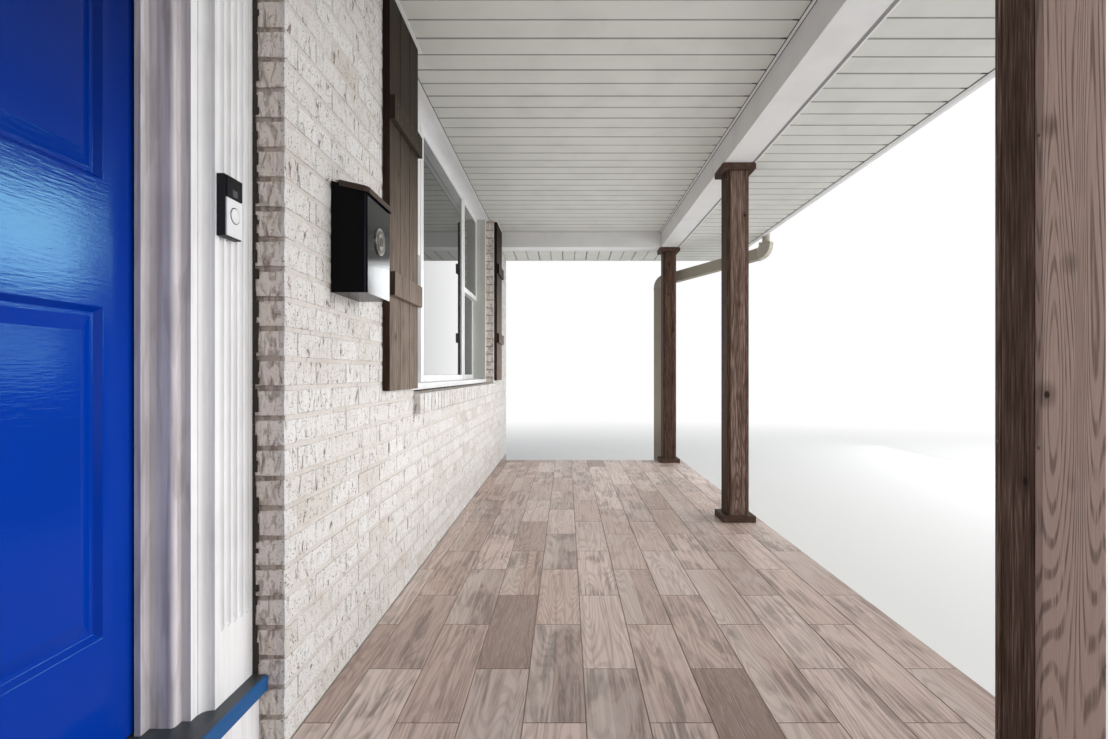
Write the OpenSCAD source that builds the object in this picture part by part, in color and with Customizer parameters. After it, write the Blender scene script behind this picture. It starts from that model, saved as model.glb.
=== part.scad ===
// Front porch of a brick house: a tiled slab, boxed cedar posts, wrapped beams
// and a hipped lean-to roof in front of a brick wall with a door and a window.
// X runs along the wall, to the right when facing the house. Y runs into the
// house. Z is up from the ground. The origin is under the middle of the porch.
// A depth is measured from the brick face into the wall, a reach from the
// brick face towards the street, and a level from the top of the porch floor.

/* [Floor] */
// Height of the porch floor above the ground
floor_h = 152; // [120:1:300]
// Thickness of the floor tiles with their mortar
tile_t = 12; // [8:1:25]
// Slab from the post centre line to its street edge
slab_margin = 151; // [120:1:300]
// Slab from the end posts' centres to its ends
slab_end = 105; // [101:1:300]

/* [Posts] */
// Number of bays between the posts
bay_count = 3; // [3:1:4]
// Distance between post centres
bay = 2350; // [2300:10:2500]
// Brick face to the centre line of the posts
post_reach = 1730; // [1600:10:2100]
// Width of a boxed cedar post
post_w = 133; // [110:1:170]
// Thickness of the boards that box a post
post_board = 19; // [12:1:30]
// Projection of the rings at the head and foot of a post
ring_out = 34; // [15:1:45]
// Height of those rings
ring_h = 39; // [25:1:60]

/* [Beams and ceiling] */
// Width of a wrapped beam
beam_w = 180; // [150:1:200]
// Drop from the ceiling to the underside of the beams
beam_drop = 150; // [110:1:200]
// Thickness of the ceiling and soffit panels
panel_t = 12; // [8:1:20]

/* [Eaves and roof] */
// Post centre line to the back of the front fascia
front_over = 750; // [500:10:900]
// End posts' centres to the back of the end fascias
end_over = 585; // [400:10:800]
// Thickness of the fascia boards
fascia_t = 20; // [15:1:40]
// Height of the fascia boards
fascia_h = 190; // [180:1:260]
// Fascia below the soffit
fascia_lip = 5; // [2:1:15]
// Slope of the roof, in degrees
roof_angle = 18.4; // [14:0.1:22]
// Thickness of the roof boarding
deck_t = 12; // [9:1:25]
// Thickness of the shingles
shingle_t = 12; // [6:1:20]
// Shingles past the fascia
shingle_over = 15; // [5:1:30]

/* [Gutter and downspout] */
// Width of the gutter at its top
gutter_w = 127; // [110:1:150]
// Width of the gutter's floor
gutter_floor = 80; // [70:1:95]
// Height of the gutter
gutter_h = 90; // [75:1:120]
// Upright face along the gutter's front edge
gutter_face = 25; // [15:1:30]
// Metal thickness of the gutter
gutter_t = 2; // [1.5:0.1:4]
// Top of the gutter below the top of the fascia
gutter_drop = 15; // [5:1:40]
// Downspout size across the plane of its bends
pipe_w = 76; // [50:1:90]
// Downspout size in that plane
pipe_d = 102; // [60:1:120]
// Post centre line to the upright downspout, towards the wall
pipe_back = 50; // [30:1:90]
// Gap between the downspout and the corner of the end post
pipe_clear = 8; // [5:1:30]
// Turn of the downspout's plane from the wall line
pipe_turn = 47; // [42:1:60]
// Fall of the sloping downspout, in degrees
pipe_fall = 7; // [4:0.5:15]
// Round outlet between the gutter and the first bend
outlet_drop = 165; // [120:1:200]
// Radius of that outlet
outlet_r = 34; // [25:1:34]
// Height of the ground adapter at the foot of the downspout
adapter_h = 60; // [30:1:90]

/* [Wall] */
// Thickness of the bricks
brick_t = 92; // [80:1:110]
// Thickness of the framed wall behind the bricks
backing_t = 141; // [120:1:200]

/* [Entry door] */
// Centre of the door from the middle of the porch
door_x = -1715; // [-1900:5:-1600]
// Width of the door leaf
leaf_w = 912; // [812:1:960]
// Height of the door leaf
leaf_h = 2032; // [1981:1:2040]
// Thickness of the door leaf
leaf_t = 44; // [40:1:50]
// Gap between the leaf and its frame
door_gap = 5; // [5:1:8]
// Extra gap at the lock side, for the swing of the leaf's corner
swing_gap = 2; // [2:1:4]
// Rise from the porch floor to the door sill
step_h = 179; // [120:1:185]
// Thickness of the door sill
sill_t = 38; // [25:1:50]
// Brick face to the front of the sill's nosing
nosing_depth = 39; // [10:1:60]
// Nosing past the riser below it
nosing_out = 22; // [10:1:40]
// Width of the outer stiles
stile_w = 92; // [80:1:125]
// Width of the middle stile
mullion_w = 100; // [80:1:120]
// Depth of the sunk panel borders
panel_sink = 11; // [6:1:14]
// Slope of the raised panel fields, measured in the leaf's face
panel_bevel = 28; // [15:1:40]
// Sloped moulding round a sunk panel
panel_edge = 10; // [5:1:15]
// Flat border between that moulding and the raised field
panel_margin = 8; // [4:1:20]
// Knob height above the sill
knob_level = 914; // [850:1:1000]
// Knob from the lock edge of the leaf
knob_backset = 60; // [55:1:70]
// Lock cylinder above the knob
lock_rise = 140; // [120:1:180]

/* [Door surround] */
// Jamb edge that shows beside the opening
jamb_edge = 25; // [15:1:40]
// Radius of the bead along that edge
bead_r = 9; // [4:0.5:12]
// Flat band beside the jamb edge
band_w = 40; // [25:1:60]
// Width of a pilaster
pilaster_w = 152; // [120:1:180]
// Thickness of a pilaster
pilaster_t = 26; // [18:1:30]
// Depth of the pilaster's face behind the brick face
pilaster_depth = 77; // [70:1:85]
// Thickness of the casing board behind a pilaster
casing_t = 19; // [12:1:25]
// Plain foot of a pilaster
plinth_h = 168; // [120:1:250]
// Number of flutes in a pilaster
flute_count = 5; // [3:1:7]
// Radius of a flute
flute_r = 9; // [6:0.5:10]
// Plain board between the band over the door and the ceiling
frieze_h = 49; // [20:1:200]
// Hollow moulding between a pilaster's side and the flat band
cove_r = 18; // [8:1:24]
// Width of the door stop
stop_w = 25; // [15:1:30]
// Thickness of the door stop
stop_t = 13; // [8:1:16]

/* [Window] */
// Width of the window opening
window_w = 2835; // [2700:5:2900]
// Level of the window's foot
window_level = 817; // [700:1:1000]
// Projection of the brick sill from the wall
brick_sill_out = 30; // [15:1:45]
// Height of the brick sill
brick_sill_h = 92; // [70:1:110]
// Depth of the window frame behind the brick face
frame_depth = 72; // [60:1:85]
// Depth of the window frame from front to back
frame_d = 150; // [130:1:155]
// Width of the outer frame members
frame_w = 38; // [25:1:60]
// Width of each side light, from the opening's edge to the mullion's centre
side_light = 735; // [600:5:900]
// Width of a window mullion
bar_w = 46; // [36:1:90]
// Mullions in front of the sashes
bar_out = 6; // [3:1:30]
// Depth of the glass behind the brick face
glass_depth = 169; // [160:1:185]
// Thickness of the insulating glass
glass_t = 20; // [12:1:24]
// Width of the sash members
sash_w = 40; // [30:1:60]
// Thickness of the sash members
sash_t = 32; // [26:1:38]

/* [Shutters] */
// Width of a shutter
shutter_w = 407; // [300:1:410]
// Number of boards in a shutter
shutter_boards = 3; // [3:1:5]
// Gap between the boards
board_gap = 3; // [2:1:6]
// Thickness of the shutter boards
shutter_t = 27; // [18:1:32]
// Height of a batten
batten_h = 90; // [70:1:120]
// Thickness of a batten
batten_t = 20; // [15:1:25]
// Level of the lower batten
batten_low = 1195; // [950:1:1400]
// Level of the upper batten
batten_high = 1850; // [1600:1:2100]
// Gap between a shutter and the window opening
shutter_gap = 36; // [20:1:38]
// Gap between the right shutter and the end beam
shutter_clear = 6; // [3:1:20]
// Top of the shutters below the ceiling
shutter_drop = 5; // [3:1:40]
// Level of the shutters' foot
shutter_level = 840; // [750:1:1000]

/* [Mailbox] */
// Mailbox from the middle of the bricks between the door and the shutter
mail_off = 16; // [-60:1:60]
// Level of the mailbox's floor
mail_level = 1140; // [1000:1:1300]
// Width of the mailbox
mail_w = 226; // [180:1:260]
// Reach of the mailbox from the wall
mail_d = 103; // [90:1:140]
// Height of the mailbox at the wall
mail_h = 323; // [250:1:340]
// Fall of the lid towards the street
mail_fall = 23; // [10:1:30]
// Radius of its upright front corners
mail_round = 10; // [6:1:20]
// Thickness of the sheet steel
mail_t = 2; // [1.5:0.1:3]
// Gap between the lid and the body
lid_gap = 5; // [5:0.5:8]
// Diameter of the round plate on its front
medallion_d = 83; // [60:1:100]
// Height of that plate's centre above the mailbox's floor
medallion_level = 170; // [120:1:190]

/* [Doorbell] */
// Level of the doorbell's centre
bell_level = 1272; // [1100:1:1400]
// Doorbell from the middle of the pilaster towards the door
bell_in = 38; // [-20:1:43]
// Width of the doorbell
bell_w = 64; // [45:1:66]
// Height of the doorbell
bell_h = 135; // [100:1:150]
// Thickness of the doorbell
bell_t = 22; // [18:1:32]

/* [Hidden] */
$fn = 48;

cedar = "#6b5449";
white_paint = "#f2f2f0";
white_metal = "#dfe0dd";
whitewash = "#d9d4cb";

// Hinge barrels, which stand at the back of the leaf
barrel_r = 7;
pin_r = 4;
pin_play = 0.08;
hinge_h = 102;
hinge_plate_t = 3;
hinge_count = 3;
barrel_parts = 5;
barrel_gap = 0.4;
hinge_inset = 180;
hinge_plate_w = 37;
pin_head_h = 3;

// Across the porch
wall_t = brick_t + backing_t;
fascia_reach = post_reach + front_over + fascia_t;
front_reach = fascia_reach + gutter_w;
back_depth = wall_t + 2 * barrel_r;
face_y = (front_reach - back_depth) / 2;
wall_y = face_y + wall_t;
post_y = face_y - post_reach;
slab_y = post_y - slab_margin;
fascia_y = face_y - fascia_reach;

// Along the porch
post_end = bay * bay_count / 2;
slab_half = post_end + slab_end;
roof_half = post_end + end_over + fascia_t;
wall_half = roof_half - fascia_t;

// Heights above the ground: the ceiling lies just above the door's surround
ceiling_z = floor_h + step_h + leaf_h + 2 * door_gap + jamb_edge + band_w + frieze_h;
beam_z = ceiling_z - beam_drop;
brick_z = ceiling_z + panel_t;
// Heads of the door's and the window's frame, hidden above the ceiling
open_top = ceiling_z + frame_w;
eave_z = beam_z - fascia_lip + fascia_h;
slope = tan(roof_angle);
roof_run = fascia_reach + wall_t;
rafter_h = 140;
// The rafters' undersides at the front beam, where the beam's top carries them
beam_top = eave_z + slope * (front_over + fascia_t - beam_w / 2) - rafter_h;
sill_z = floor_h + step_h;
leaf_z = sill_z + door_gap;
head_z = leaf_z + leaf_h + door_gap;
window_z = floor_h + window_level;

// Along the wall at the door
jamb_lock = door_x - leaf_w / 2 - door_gap - swing_gap;
jamb_hinge = door_x + leaf_w / 2 + door_gap;
entry_side = jamb_edge + band_w + pilaster_w;
entry_left = jamb_lock - entry_side;
entry_right = jamb_hinge + entry_side;
leaf_depth = wall_t - leaf_t;
pin_x = jamb_hinge - door_gap / 2;
pin_y = wall_y + barrel_r;
casing_depth = pilaster_depth + pilaster_t;
jamb_depth = casing_depth + casing_t;
riser_depth = nosing_depth + nosing_out;

// Along the wall at the window: the right shutter stands beside the end beam
window_end = post_end - beam_w / 2 - shutter_clear - shutter_w - shutter_gap;
window_x = window_end - window_w;

// Overrun of a cutting block past the piece it cuts
past = 1;
// A block between two opposite corners
module block(low, high) translate(low) cube(high - low);

// A block in the wall: along X, by depth behind the brick face, and by height
module wall_block(x0, x1, d0, d1, z0, z1)
  block([x0, face_y + d0, z0], [x1, face_y + d1, z1]);

// Everything below the roof's three slopes, raised by lift, out to the shingles' edges
module under_roof(lift) {
  run = roof_run + shingle_over;
  half = roof_half + shingle_over;
  low = eave_z + lift - slope * shingle_over;
  high = low + slope * run;
  intersection() {
    translate([-half, 0, 0]) rotate([90, 0, 90]) linear_extrude(2 * half)
      polygon([[wall_y - run, 0], [wall_y, 0], [wall_y, high], [wall_y - run, low]]);
    translate([0, wall_y, 0]) rotate([90, 0, 0]) linear_extrude(run)
      polygon([[-half, 0], [half, 0], [half, low], [half - run, high], [run - half, high],
        [-half, low]]);
  }
}

// A layer of the roof between two heights above the rafters
module roof_layer(low, high) difference() {
  under_roof(high);
  under_roof(low);
}

module porch_slab() color("#b9b4ab")
  block([-slab_half, slab_y, 0], [slab_half, face_y, floor_h - tile_t]);

module floor_tiles() color("#8f7d76")
  block([-slab_half, slab_y, floor_h - tile_t], [slab_half, face_y, floor_h]);

module foundation() color("#a8a49c")
  wall_block(-wall_half, wall_half, 0, wall_t, 0, floor_h);

module brick_panel(x0, x1, z1) color(whitewash)
  wall_block(x0, x1, 0, brick_t, floor_h, z1);
module brick_left() brick_panel(-wall_half, entry_left, brick_z);
module brick_pier() brick_panel(entry_right, window_x, brick_z);
module brick_apron() brick_panel(window_x, window_end, window_z - brick_sill_h);
module brick_right() brick_panel(window_end, wall_half, brick_z);
module window_sill_bricks() color(whitewash)
  wall_block(window_x, window_end, -brick_sill_out, brick_t,
    window_z - brick_sill_h, window_z);

module framed_wall(x0, x1, z1) color("#d8d6d0")
  wall_block(x0, x1, brick_t, wall_t, floor_h, z1);
module wall_left() framed_wall(-wall_half, entry_left, open_top);
module wall_middle() framed_wall(entry_right, window_x, open_top);
module wall_below_window() framed_wall(window_x, window_end, window_z);
module wall_right() framed_wall(window_end, wall_half, open_top);
module wall_top() color("#d8d6d0") intersection() {
  wall_block(-wall_half, wall_half, brick_t, wall_t, open_top, eave_z + roof_run);
  under_roof(0);
}

// Window: an outer frame, two mullions set back in it, and sashes behind them
light_low = window_z + frame_w;
light_high = ceiling_z;
meeting_z = (light_low + light_high) / 2;
sash_depth = glass_depth - sash_t / 2;
sash_play = 1;
lower_depth = sash_depth + sash_t + sash_play;
bar_depth = sash_depth - bar_out;
module window_frame() color(white_paint) difference() {
  wall_block(window_x, window_end, frame_depth, frame_depth + frame_d, window_z, open_top);
  for (edge = light_edges())
    wall_block(edge[0], edge[1], frame_depth, frame_depth + frame_d + past,
      light_low, light_high);
  wall_block(window_x + frame_w, window_end - frame_w, frame_depth - past, bar_depth,
    light_low, light_high);
}

// The two edges of each of the window's three lights
function light_edges() = [
  [window_x + frame_w, window_x + side_light - bar_w / 2],
  [window_x + side_light + bar_w / 2, window_end - side_light - bar_w / 2],
  [window_end - side_light + bar_w / 2, window_end - frame_w]];

// A rectangular sash around a pane, with its front at a depth
module sash(edge, depth, z0, z1) difference() {
  wall_block(edge[0], edge[1], depth, depth + sash_t, z0, z1);
  wall_block(edge[0] + sash_w, edge[1] - sash_w, depth - past, depth + sash_t + past,
    z0 + sash_w, z1 - sash_w);
}
module window_sashes() color(white_paint) {
  for (i = [0, 2]) {
    sash(light_edges()[i], sash_depth, meeting_z - sash_w / 2, light_high);
    sash(light_edges()[i], lower_depth, light_low, meeting_z + sash_w / 2);
  }
  sash(light_edges()[1], sash_depth, light_low, light_high);
}
module pane(edge, depth, z0, z1)
  wall_block(edge[0] + sash_w, edge[1] - sash_w, depth + (sash_t - glass_t) / 2,
    depth + (sash_t + glass_t) / 2, z0 + sash_w, z1 - sash_w);
module window_glass() color("#8fa6ad") {
  for (i = [0, 2]) {
    pane(light_edges()[i], sash_depth, meeting_z - sash_w / 2, light_high);
    pane(light_edges()[i], lower_depth, light_low, meeting_z + sash_w / 2);
  }
  pane(light_edges()[1], sash_depth, light_low, light_high);
}

// Shutter of upright boards held by two battens
shutter_top = ceiling_z - shutter_drop;
board_w = (shutter_w - (shutter_boards - 1) * board_gap) / shutter_boards;
module shutter(x0) color(cedar) {
  for (i = [0:shutter_boards - 1])
    wall_block(x0 + i * (board_w + board_gap), x0 + i * (board_w + board_gap) + board_w,
      -shutter_t, 0, floor_h + shutter_level, shutter_top);
  for (level = [batten_low, batten_high])
    wall_block(x0, x0 + shutter_w, -shutter_t - batten_t, -shutter_t,
      floor_h + level, floor_h + level + batten_h);
}
module shutter_left() shutter(window_x - shutter_gap - shutter_w);
module shutter_right() shutter(window_end + shutter_gap);

// Six-panel door: levels of the rails' edges above the leaf's foot
panel_rows = [[225, 845], [1084, 1640], [1745, 1915]];
panel_w = (leaf_w - 2 * stile_w - mullion_w) / 2;
field_sink = 3;
field_rise = panel_sink - field_sink;
// Sections of a sunk panel and of its raised field: place along it, and depth
function recess_line(w) = [[0, -past], [w, -past], [w, 0], [w - panel_edge, panel_sink],
  [panel_edge, panel_sink], [0, 0]];
function field_line(w) = [[0, field_rise + past], [w, field_rise + past], [w, field_rise],
  [w - panel_bevel, 0], [panel_bevel, 0], [0, field_rise]];
// A block with one section across it and one section up it
module mitred(w, h, across, upwards) intersection() {
  linear_extrude(h) polygon(across);
  rotate([90, 0, 90]) linear_extrude(w) polygon([for (p = upwards) [p[1], p[0]]]);
}
// A sunk panel with a raised field, cut into one face of the leaf
module panel_recess(x0, z0, z1) {
  inset = panel_edge + panel_margin;
  w = panel_w;
  h = z1 - z0;
  translate([x0, 0, z0]) difference() {
    mitred(w, h, recess_line(w), recess_line(h));
    translate([inset, field_sink, inset]) mitred(w - 2 * inset, h - 2 * inset,
      field_line(w - 2 * inset), field_line(h - 2 * inset));
  }
}
module door_leaf() color("#0a43b8") {
  x0 = jamb_lock + door_gap + swing_gap;
  y0 = face_y + leaf_depth;
  difference() {
    block([x0, y0, leaf_z], [x0 + leaf_w, y0 + leaf_t, leaf_z + leaf_h]);
    for (row = panel_rows, side = [0, 1]) {
      px = x0 + stile_w + side * (panel_w + mullion_w);
      translate([0, y0, leaf_z]) panel_recess(px, row[0], row[1]);
      translate([0, y0 + leaf_t, leaf_z]) mirror([0, 1, 0])
        panel_recess(px, row[0], row[1]);
    }
  }
}

// Knob on the street side of the leaf, and round plates of the lock on both
lock_x = jamb_lock + door_gap + swing_gap + knob_backset;
rose_r = 33;
rose_t = 8;
neck_r = 12;
knob_r = 27;
knob_out = 48;
plate_r = 32;
plate_t = 10;
turn_r = 18;
turn_out = 20;
module knob(side) rotate([side * 90, 0, 0]) {
  cylinder(h = rose_t, r = rose_r);
  cylinder(h = knob_out, r = neck_r);
  translate([0, 0, knob_out]) sphere(r = knob_r);
}
module lock_plate(side) rotate([side * 90, 0, 0]) {
  cylinder(h = plate_t, r = plate_r);
  cylinder(h = turn_out, r = turn_r);
}
module door_lockset() color("#b8b4a8")
  translate([lock_x, face_y + leaf_depth, sill_z + knob_level]) {
    knob(1);
    translate([0, 0, lock_rise]) lock_plate(1);
    for (rise = [0, lock_rise]) translate([0, leaf_t, rise]) lock_plate(-1);
  }

// Hinges: each half is a plate with every second barrel, notched round the others
function hinge_z(i) = leaf_z + hinge_inset
  + i * (leaf_h - 2 * hinge_inset - hinge_h) / (hinge_count - 1);
barrel_h = hinge_h / barrel_parts;
module hinge_half(first, side) difference() {
  union() {
    for (k = [first:2:barrel_parts - 1])
      translate([0, 0, k * barrel_h + barrel_gap])
        cylinder(h = barrel_h - 2 * barrel_gap, r = barrel_r);
    translate([side < 0 ? -hinge_plate_w : 0, -barrel_r, barrel_gap])
      cube([hinge_plate_w, hinge_plate_t, hinge_h - 2 * barrel_gap]);
  }
  for (k = [1 - first:2:barrel_parts - 1])
    translate([0, 0, k * barrel_h]) cylinder(h = barrel_h, r = barrel_r + barrel_gap);
  translate([0, 0, -past]) cylinder(h = hinge_h + 2 * past, r = pin_r + pin_play);
}
module frame_hinge_leaves() color("#b8b4a8")
  for (i = [0:hinge_count - 1]) translate([pin_x, pin_y, hinge_z(i)]) {
    hinge_half(0, 1);
    cylinder(h = hinge_h, r = pin_r);
    for (z = [-pin_head_h, hinge_h]) translate([0, 0, z])
      cylinder(h = pin_head_h, r = pin_r + 1);
    for (k = [0, barrel_parts - 1]) translate([0, 0, k * barrel_h + barrel_gap])
      cylinder(h = barrel_h - 2 * barrel_gap, r = barrel_r);
  }
module door_hinge_leaves() color("#b8b4a8")
  for (i = [0:hinge_count - 1]) translate([pin_x, pin_y, hinge_z(i)])
    hinge_half(1, -1);

// Section of a frame member: its width, to a beaded corner at the front, and its depth
module beaded_section(w) {
  translate([0, jamb_depth]) square([w - bead_r, wall_t - jamb_depth]);
  translate([0, jamb_depth + bead_r]) square([w, wall_t - jamb_depth - bead_r]);
  translate([w - bead_r, jamb_depth + bead_r]) circle(r = bead_r);
}
// A jamb from its outer side towards the opening; the head's bead meets its square top
module jamb(x0, towards) translate([x0, face_y, 0]) mirror([towards < 0 ? 1 : 0, 0, 0]) {
  translate([0, 0, sill_z]) linear_extrude(head_z - sill_z) beaded_section(entry_side);
  block([0, jamb_depth, head_z], [entry_side, wall_t, open_top]);
}

// The stops stand in front of the leaf by the door gap
stop_back = leaf_depth - door_gap;
module door_jambs() color(white_paint) {
  jamb(entry_left, 1);
  wall_block(jamb_lock, jamb_lock + stop_w, stop_back - stop_t, stop_back, sill_z, head_z);
  jamb(entry_right, -1);
  wall_block(jamb_hinge - stop_w, jamb_hinge, stop_back - stop_t, stop_back, sill_z, head_z);
}
module door_head() color(white_paint) {
  translate([jamb_lock, face_y, open_top]) rotate([0, 90, 0])
    linear_extrude(jamb_hinge - jamb_lock) beaded_section(open_top - head_z);
  wall_block(jamb_lock + stop_w, jamb_hinge - stop_w, stop_back - stop_t, stop_back,
    head_z - stop_w, head_z);
}
module door_sill() color("#4a4d52")
  wall_block(entry_left, entry_right, nosing_depth, wall_t, sill_z - sill_t, sill_z);
module door_riser() color(white_paint)
  wall_block(entry_left, entry_right, riser_depth, wall_t, floor_h, sill_z - sill_t);

// A fluted pilaster on its casing board, from its outer edge towards the door
head_low = head_z + jamb_edge + band_w;
cove_edge = 1.5;
module pilaster(x0, towards) translate([x0, face_y, 0]) mirror([towards < 0 ? 1 : 0, 0, 0])
  difference() {
    union() {
      block([0, pilaster_depth, sill_z], [pilaster_w, casing_depth, ceiling_z]);
      block([0, casing_depth, sill_z],
        [pilaster_w + band_w, casing_depth + casing_t, ceiling_z]);
      difference() {
        block([pilaster_w, casing_depth - cove_r, sill_z],
          [pilaster_w + cove_r, casing_depth, head_low]);
        translate([pilaster_w + cove_r, casing_depth - cove_r, sill_z - past])
          cylinder(h = head_low - sill_z + 2 * past, r = cove_r - cove_edge);
      }
    }
    for (i = [0:flute_count - 1])
      translate([(i + 1) * pilaster_w / (flute_count + 1), pilaster_depth, 0]) {
        translate([0, 0, sill_z + plinth_h])
          cylinder(h = ceiling_z - sill_z - 2 * plinth_h, r = flute_r);
        for (z = [sill_z + plinth_h, ceiling_z - plinth_h])
          translate([0, 0, z]) sphere(r = flute_r);
      }
  }
module pilasters() color(white_paint) {
  pilaster(entry_left, 1);
  pilaster(entry_right, -1);
}
module entry_head() color(white_paint) {
  wall_block(entry_left + pilaster_w + band_w, entry_right - pilaster_w - band_w,
    casing_depth, jamb_depth, head_z + jamb_edge, ceiling_z);
  wall_block(entry_left + pilaster_w, entry_right - pilaster_w,
    pilaster_depth, casing_depth, head_low, ceiling_z);
}

// A post boxed from boards, hollow inside
module post(i) color(cedar) translate([-post_end + i * bay, post_y, floor_h])
  linear_extrude(beam_z - floor_h) difference() {
    square(post_w, center = true);
    square(post_w - 2 * post_board, center = true);
  }
module post_1() post(0);
module post_2() post(1);
module post_3() post(2);
module post_4() post(3);
module ring() linear_extrude(ring_h) difference() {
  square(post_w + 2 * ring_out, center = true);
  square(post_w, center = true);
}
module post_rings() color(cedar)
  for (i = [0:bay_count], z = [floor_h, beam_z - ring_h])
    translate([-post_end + i * bay, post_y, z]) ring();

module front_beam() color(white_metal)
  block([-post_end - beam_w / 2, post_y - beam_w / 2, beam_z],
    [post_end + beam_w / 2, post_y + beam_w / 2, beam_top]);
module end_beams() color(white_metal)
  for (side = [-1, 1])
    translate([side * post_end - beam_w / 2, post_y + beam_w / 2, beam_z])
      cube([beam_w, post_reach - beam_w / 2, beam_top - beam_z]);
// Ceiling with a tongue into the recess of the window and of the entry
module porch_ceiling() color(white_metal) {
  block([-post_end + beam_w / 2, post_y + beam_w / 2, ceiling_z],
    [post_end - beam_w / 2, face_y, ceiling_z + panel_t]);
  wall_block(window_x, window_end, -past, frame_depth, ceiling_z, ceiling_z + panel_t);
  wall_block(entry_left, entry_right, -past, pilaster_depth, ceiling_z, ceiling_z + panel_t);
}
module front_soffit() color(white_metal)
  block([-wall_half, fascia_y + fascia_t, beam_z],
    [wall_half, post_y - beam_w / 2, beam_z + panel_t]);
module end_soffits() color(white_metal)
  for (side = [0, 1]) mirror([side, 0, 0])
    block([post_end + beam_w / 2, post_y - beam_w / 2, beam_z],
      [wall_half, face_y, beam_z + panel_t]);
module front_fascia() color(white_metal)
  block([-roof_half, fascia_y, beam_z - fascia_lip],
    [roof_half, fascia_y + fascia_t, eave_z]);
module end_fascias() color(white_metal)
  for (side = [0, 1]) mirror([side, 0, 0])
    block([wall_half, fascia_y + fascia_t, beam_z - fascia_lip],
      [roof_half, wall_y, eave_z]);
module roof_deck() color("#9c7f5a") intersection() {
  roof_layer(0, deck_t);
  block([-roof_half, fascia_y, 0], [roof_half, wall_y, eave_z + roof_run]);
}
module roof_shingles() color("#4a4744") roof_layer(deck_t, deck_t + shingle_t);

// Gutter section: a floor, an upright strip, an ogee and an upright face
gutter_strip = 18;
ogee_steps = 6;
ogee_w = (gutter_w - gutter_floor) / 2;
ogee_h = (gutter_h - gutter_face - gutter_strip) / 2;
function ogee(x, w, h, from, to, first) = [for (i = [first:ogee_steps])
  [x + w * cos(from + (to - from) * i / ogee_steps),
    h * sin(from + (to - from) * i / ogee_steps) - gutter_face - ogee_h]];
function gutter_line(inset) = concat(
  [[inset, inset], [inset, inset - gutter_h], [gutter_floor - inset, inset - gutter_h]],
  inset > 0 ? [[gutter_floor - inset, inset + gutter_strip - gutter_h]] : [],
  ogee(gutter_floor, ogee_w - inset, ogee_h - inset, -90, 0, 0),
  ogee(gutter_w, ogee_w + inset, ogee_h + inset, 180, 90 + asin(inset / (ogee_w + inset)), 1),
  [[gutter_w - inset, inset]]);
gutter_z = eave_z - gutter_drop;
module gutter_bar(inset) rotate([90, 0, 90]) mirror([1, 0, 0])
  translate([0, 0, inset - roof_half]) linear_extrude(2 * (roof_half - inset))
    polygon(gutter_line(inset));
module gutter() color(white_metal) translate([0, fascia_y, gutter_z]) difference() {
  gutter_bar(0);
  gutter_bar(gutter_t);
}

// Downspout in an upright plane turned by pipe_turn from the wall line
collar_t = 1.5;
collar_h = 30;
collar_in = 4;
adapter_out = 8;
pipe_y = post_y + pipe_back;
pipe_x = post_end + post_w / 2 + (pipe_w / 2 + collar_t + pipe_clear) / sin(pipe_turn)
  + (post_w / 2 + pipe_back) / tan(pipe_turn);
pipe_run = (pipe_y - fascia_y + gutter_floor / 2) / sin(pipe_turn);
bend_in = 25;
bend_r = pipe_d / 2 + bend_in;
bend_top = gutter_z - gutter_h - outlet_drop;
slant_run = pipe_run - 2 * bend_r + 2 * bend_r * sin(pipe_fall);
bend_low = bend_top - 2 * bend_r * cos(pipe_fall) - slant_run * tan(pipe_fall);
slant_l = slant_run / cos(pipe_fall);
module pipe_bend(from, to) rotate([90, 0, 0]) rotate([0, 0, from])
  rotate_extrude(angle = to - from, $fn = 72)
    translate([bend_r - pipe_d / 2, -pipe_w / 2]) square([pipe_d, pipe_w]);
// An upright piece of pipe, wider all round by grow
module pipe(grow, z0, z1)
  block([-pipe_d / 2 - grow, -pipe_w / 2 - grow, z0], [pipe_d / 2 + grow, pipe_w / 2 + grow, z1]);
module downspout() color("#d8d2c4")
  translate([pipe_x, pipe_y, 0]) rotate([0, 0, pipe_turn]) {
    translate([-pipe_run, 0, 0]) {
      translate([0, 0, bend_top]) cylinder(h = outlet_drop, r = outlet_r);
      // Collars where the bends slip over the straight pipes
      pipe(collar_t, bend_top - collar_in, bend_top - collar_in + collar_h);
      translate([bend_r, 0, bend_top]) pipe_bend(180, 270 - pipe_fall);
      translate([bend_r, 0, bend_top]) rotate([0, 90 + pipe_fall, 0])
        translate([bend_r, 0, 0]) {
          pipe(0, 0, slant_l);
          pipe(collar_t, -collar_in, collar_h - collar_in);
          pipe(collar_t, slant_l + collar_in - collar_h, slant_l + collar_in);
        }
    }
    translate([-bend_r, 0, bend_low]) pipe_bend(0, 90 - pipe_fall);
    pipe(0, 0, bend_low);
    pipe(collar_t, bend_low + collar_in - collar_h, bend_low + collar_in);
    pipe(adapter_out, 0, adapter_h);
  }

// A plan from a flat back at Y = back to a front with two rounded corners
module rounded_plan(w, back, front, r) {
  translate([-w / 2, back]) square([w, front - r - back]);
  translate([r - w / 2, back]) square([w - 2 * r, front - back]);
  for (side = [-1, 1]) translate([side * (w / 2 - r), front - r]) circle(r);
}

// Doorbell on the face of the right pilaster, with its button near the foot
bell_round = 5;
button_r = 16.5;
button_t = 1.5;
button_low = 18;
module doorbell() color("#2b2b2d")
  translate([entry_right - pilaster_w / 2 - bell_in, face_y + pilaster_depth,
    floor_h + bell_level]) mirror([0, 1, 0]) {
    translate([0, 0, -bell_h / 2]) linear_extrude(bell_h)
      rounded_plan(bell_w, 0, bell_t, bell_round);
    translate([0, bell_t - past, -button_low]) rotate([-90, 0, 0])
      cylinder(h = button_t + past, r = button_r);
  }

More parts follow.
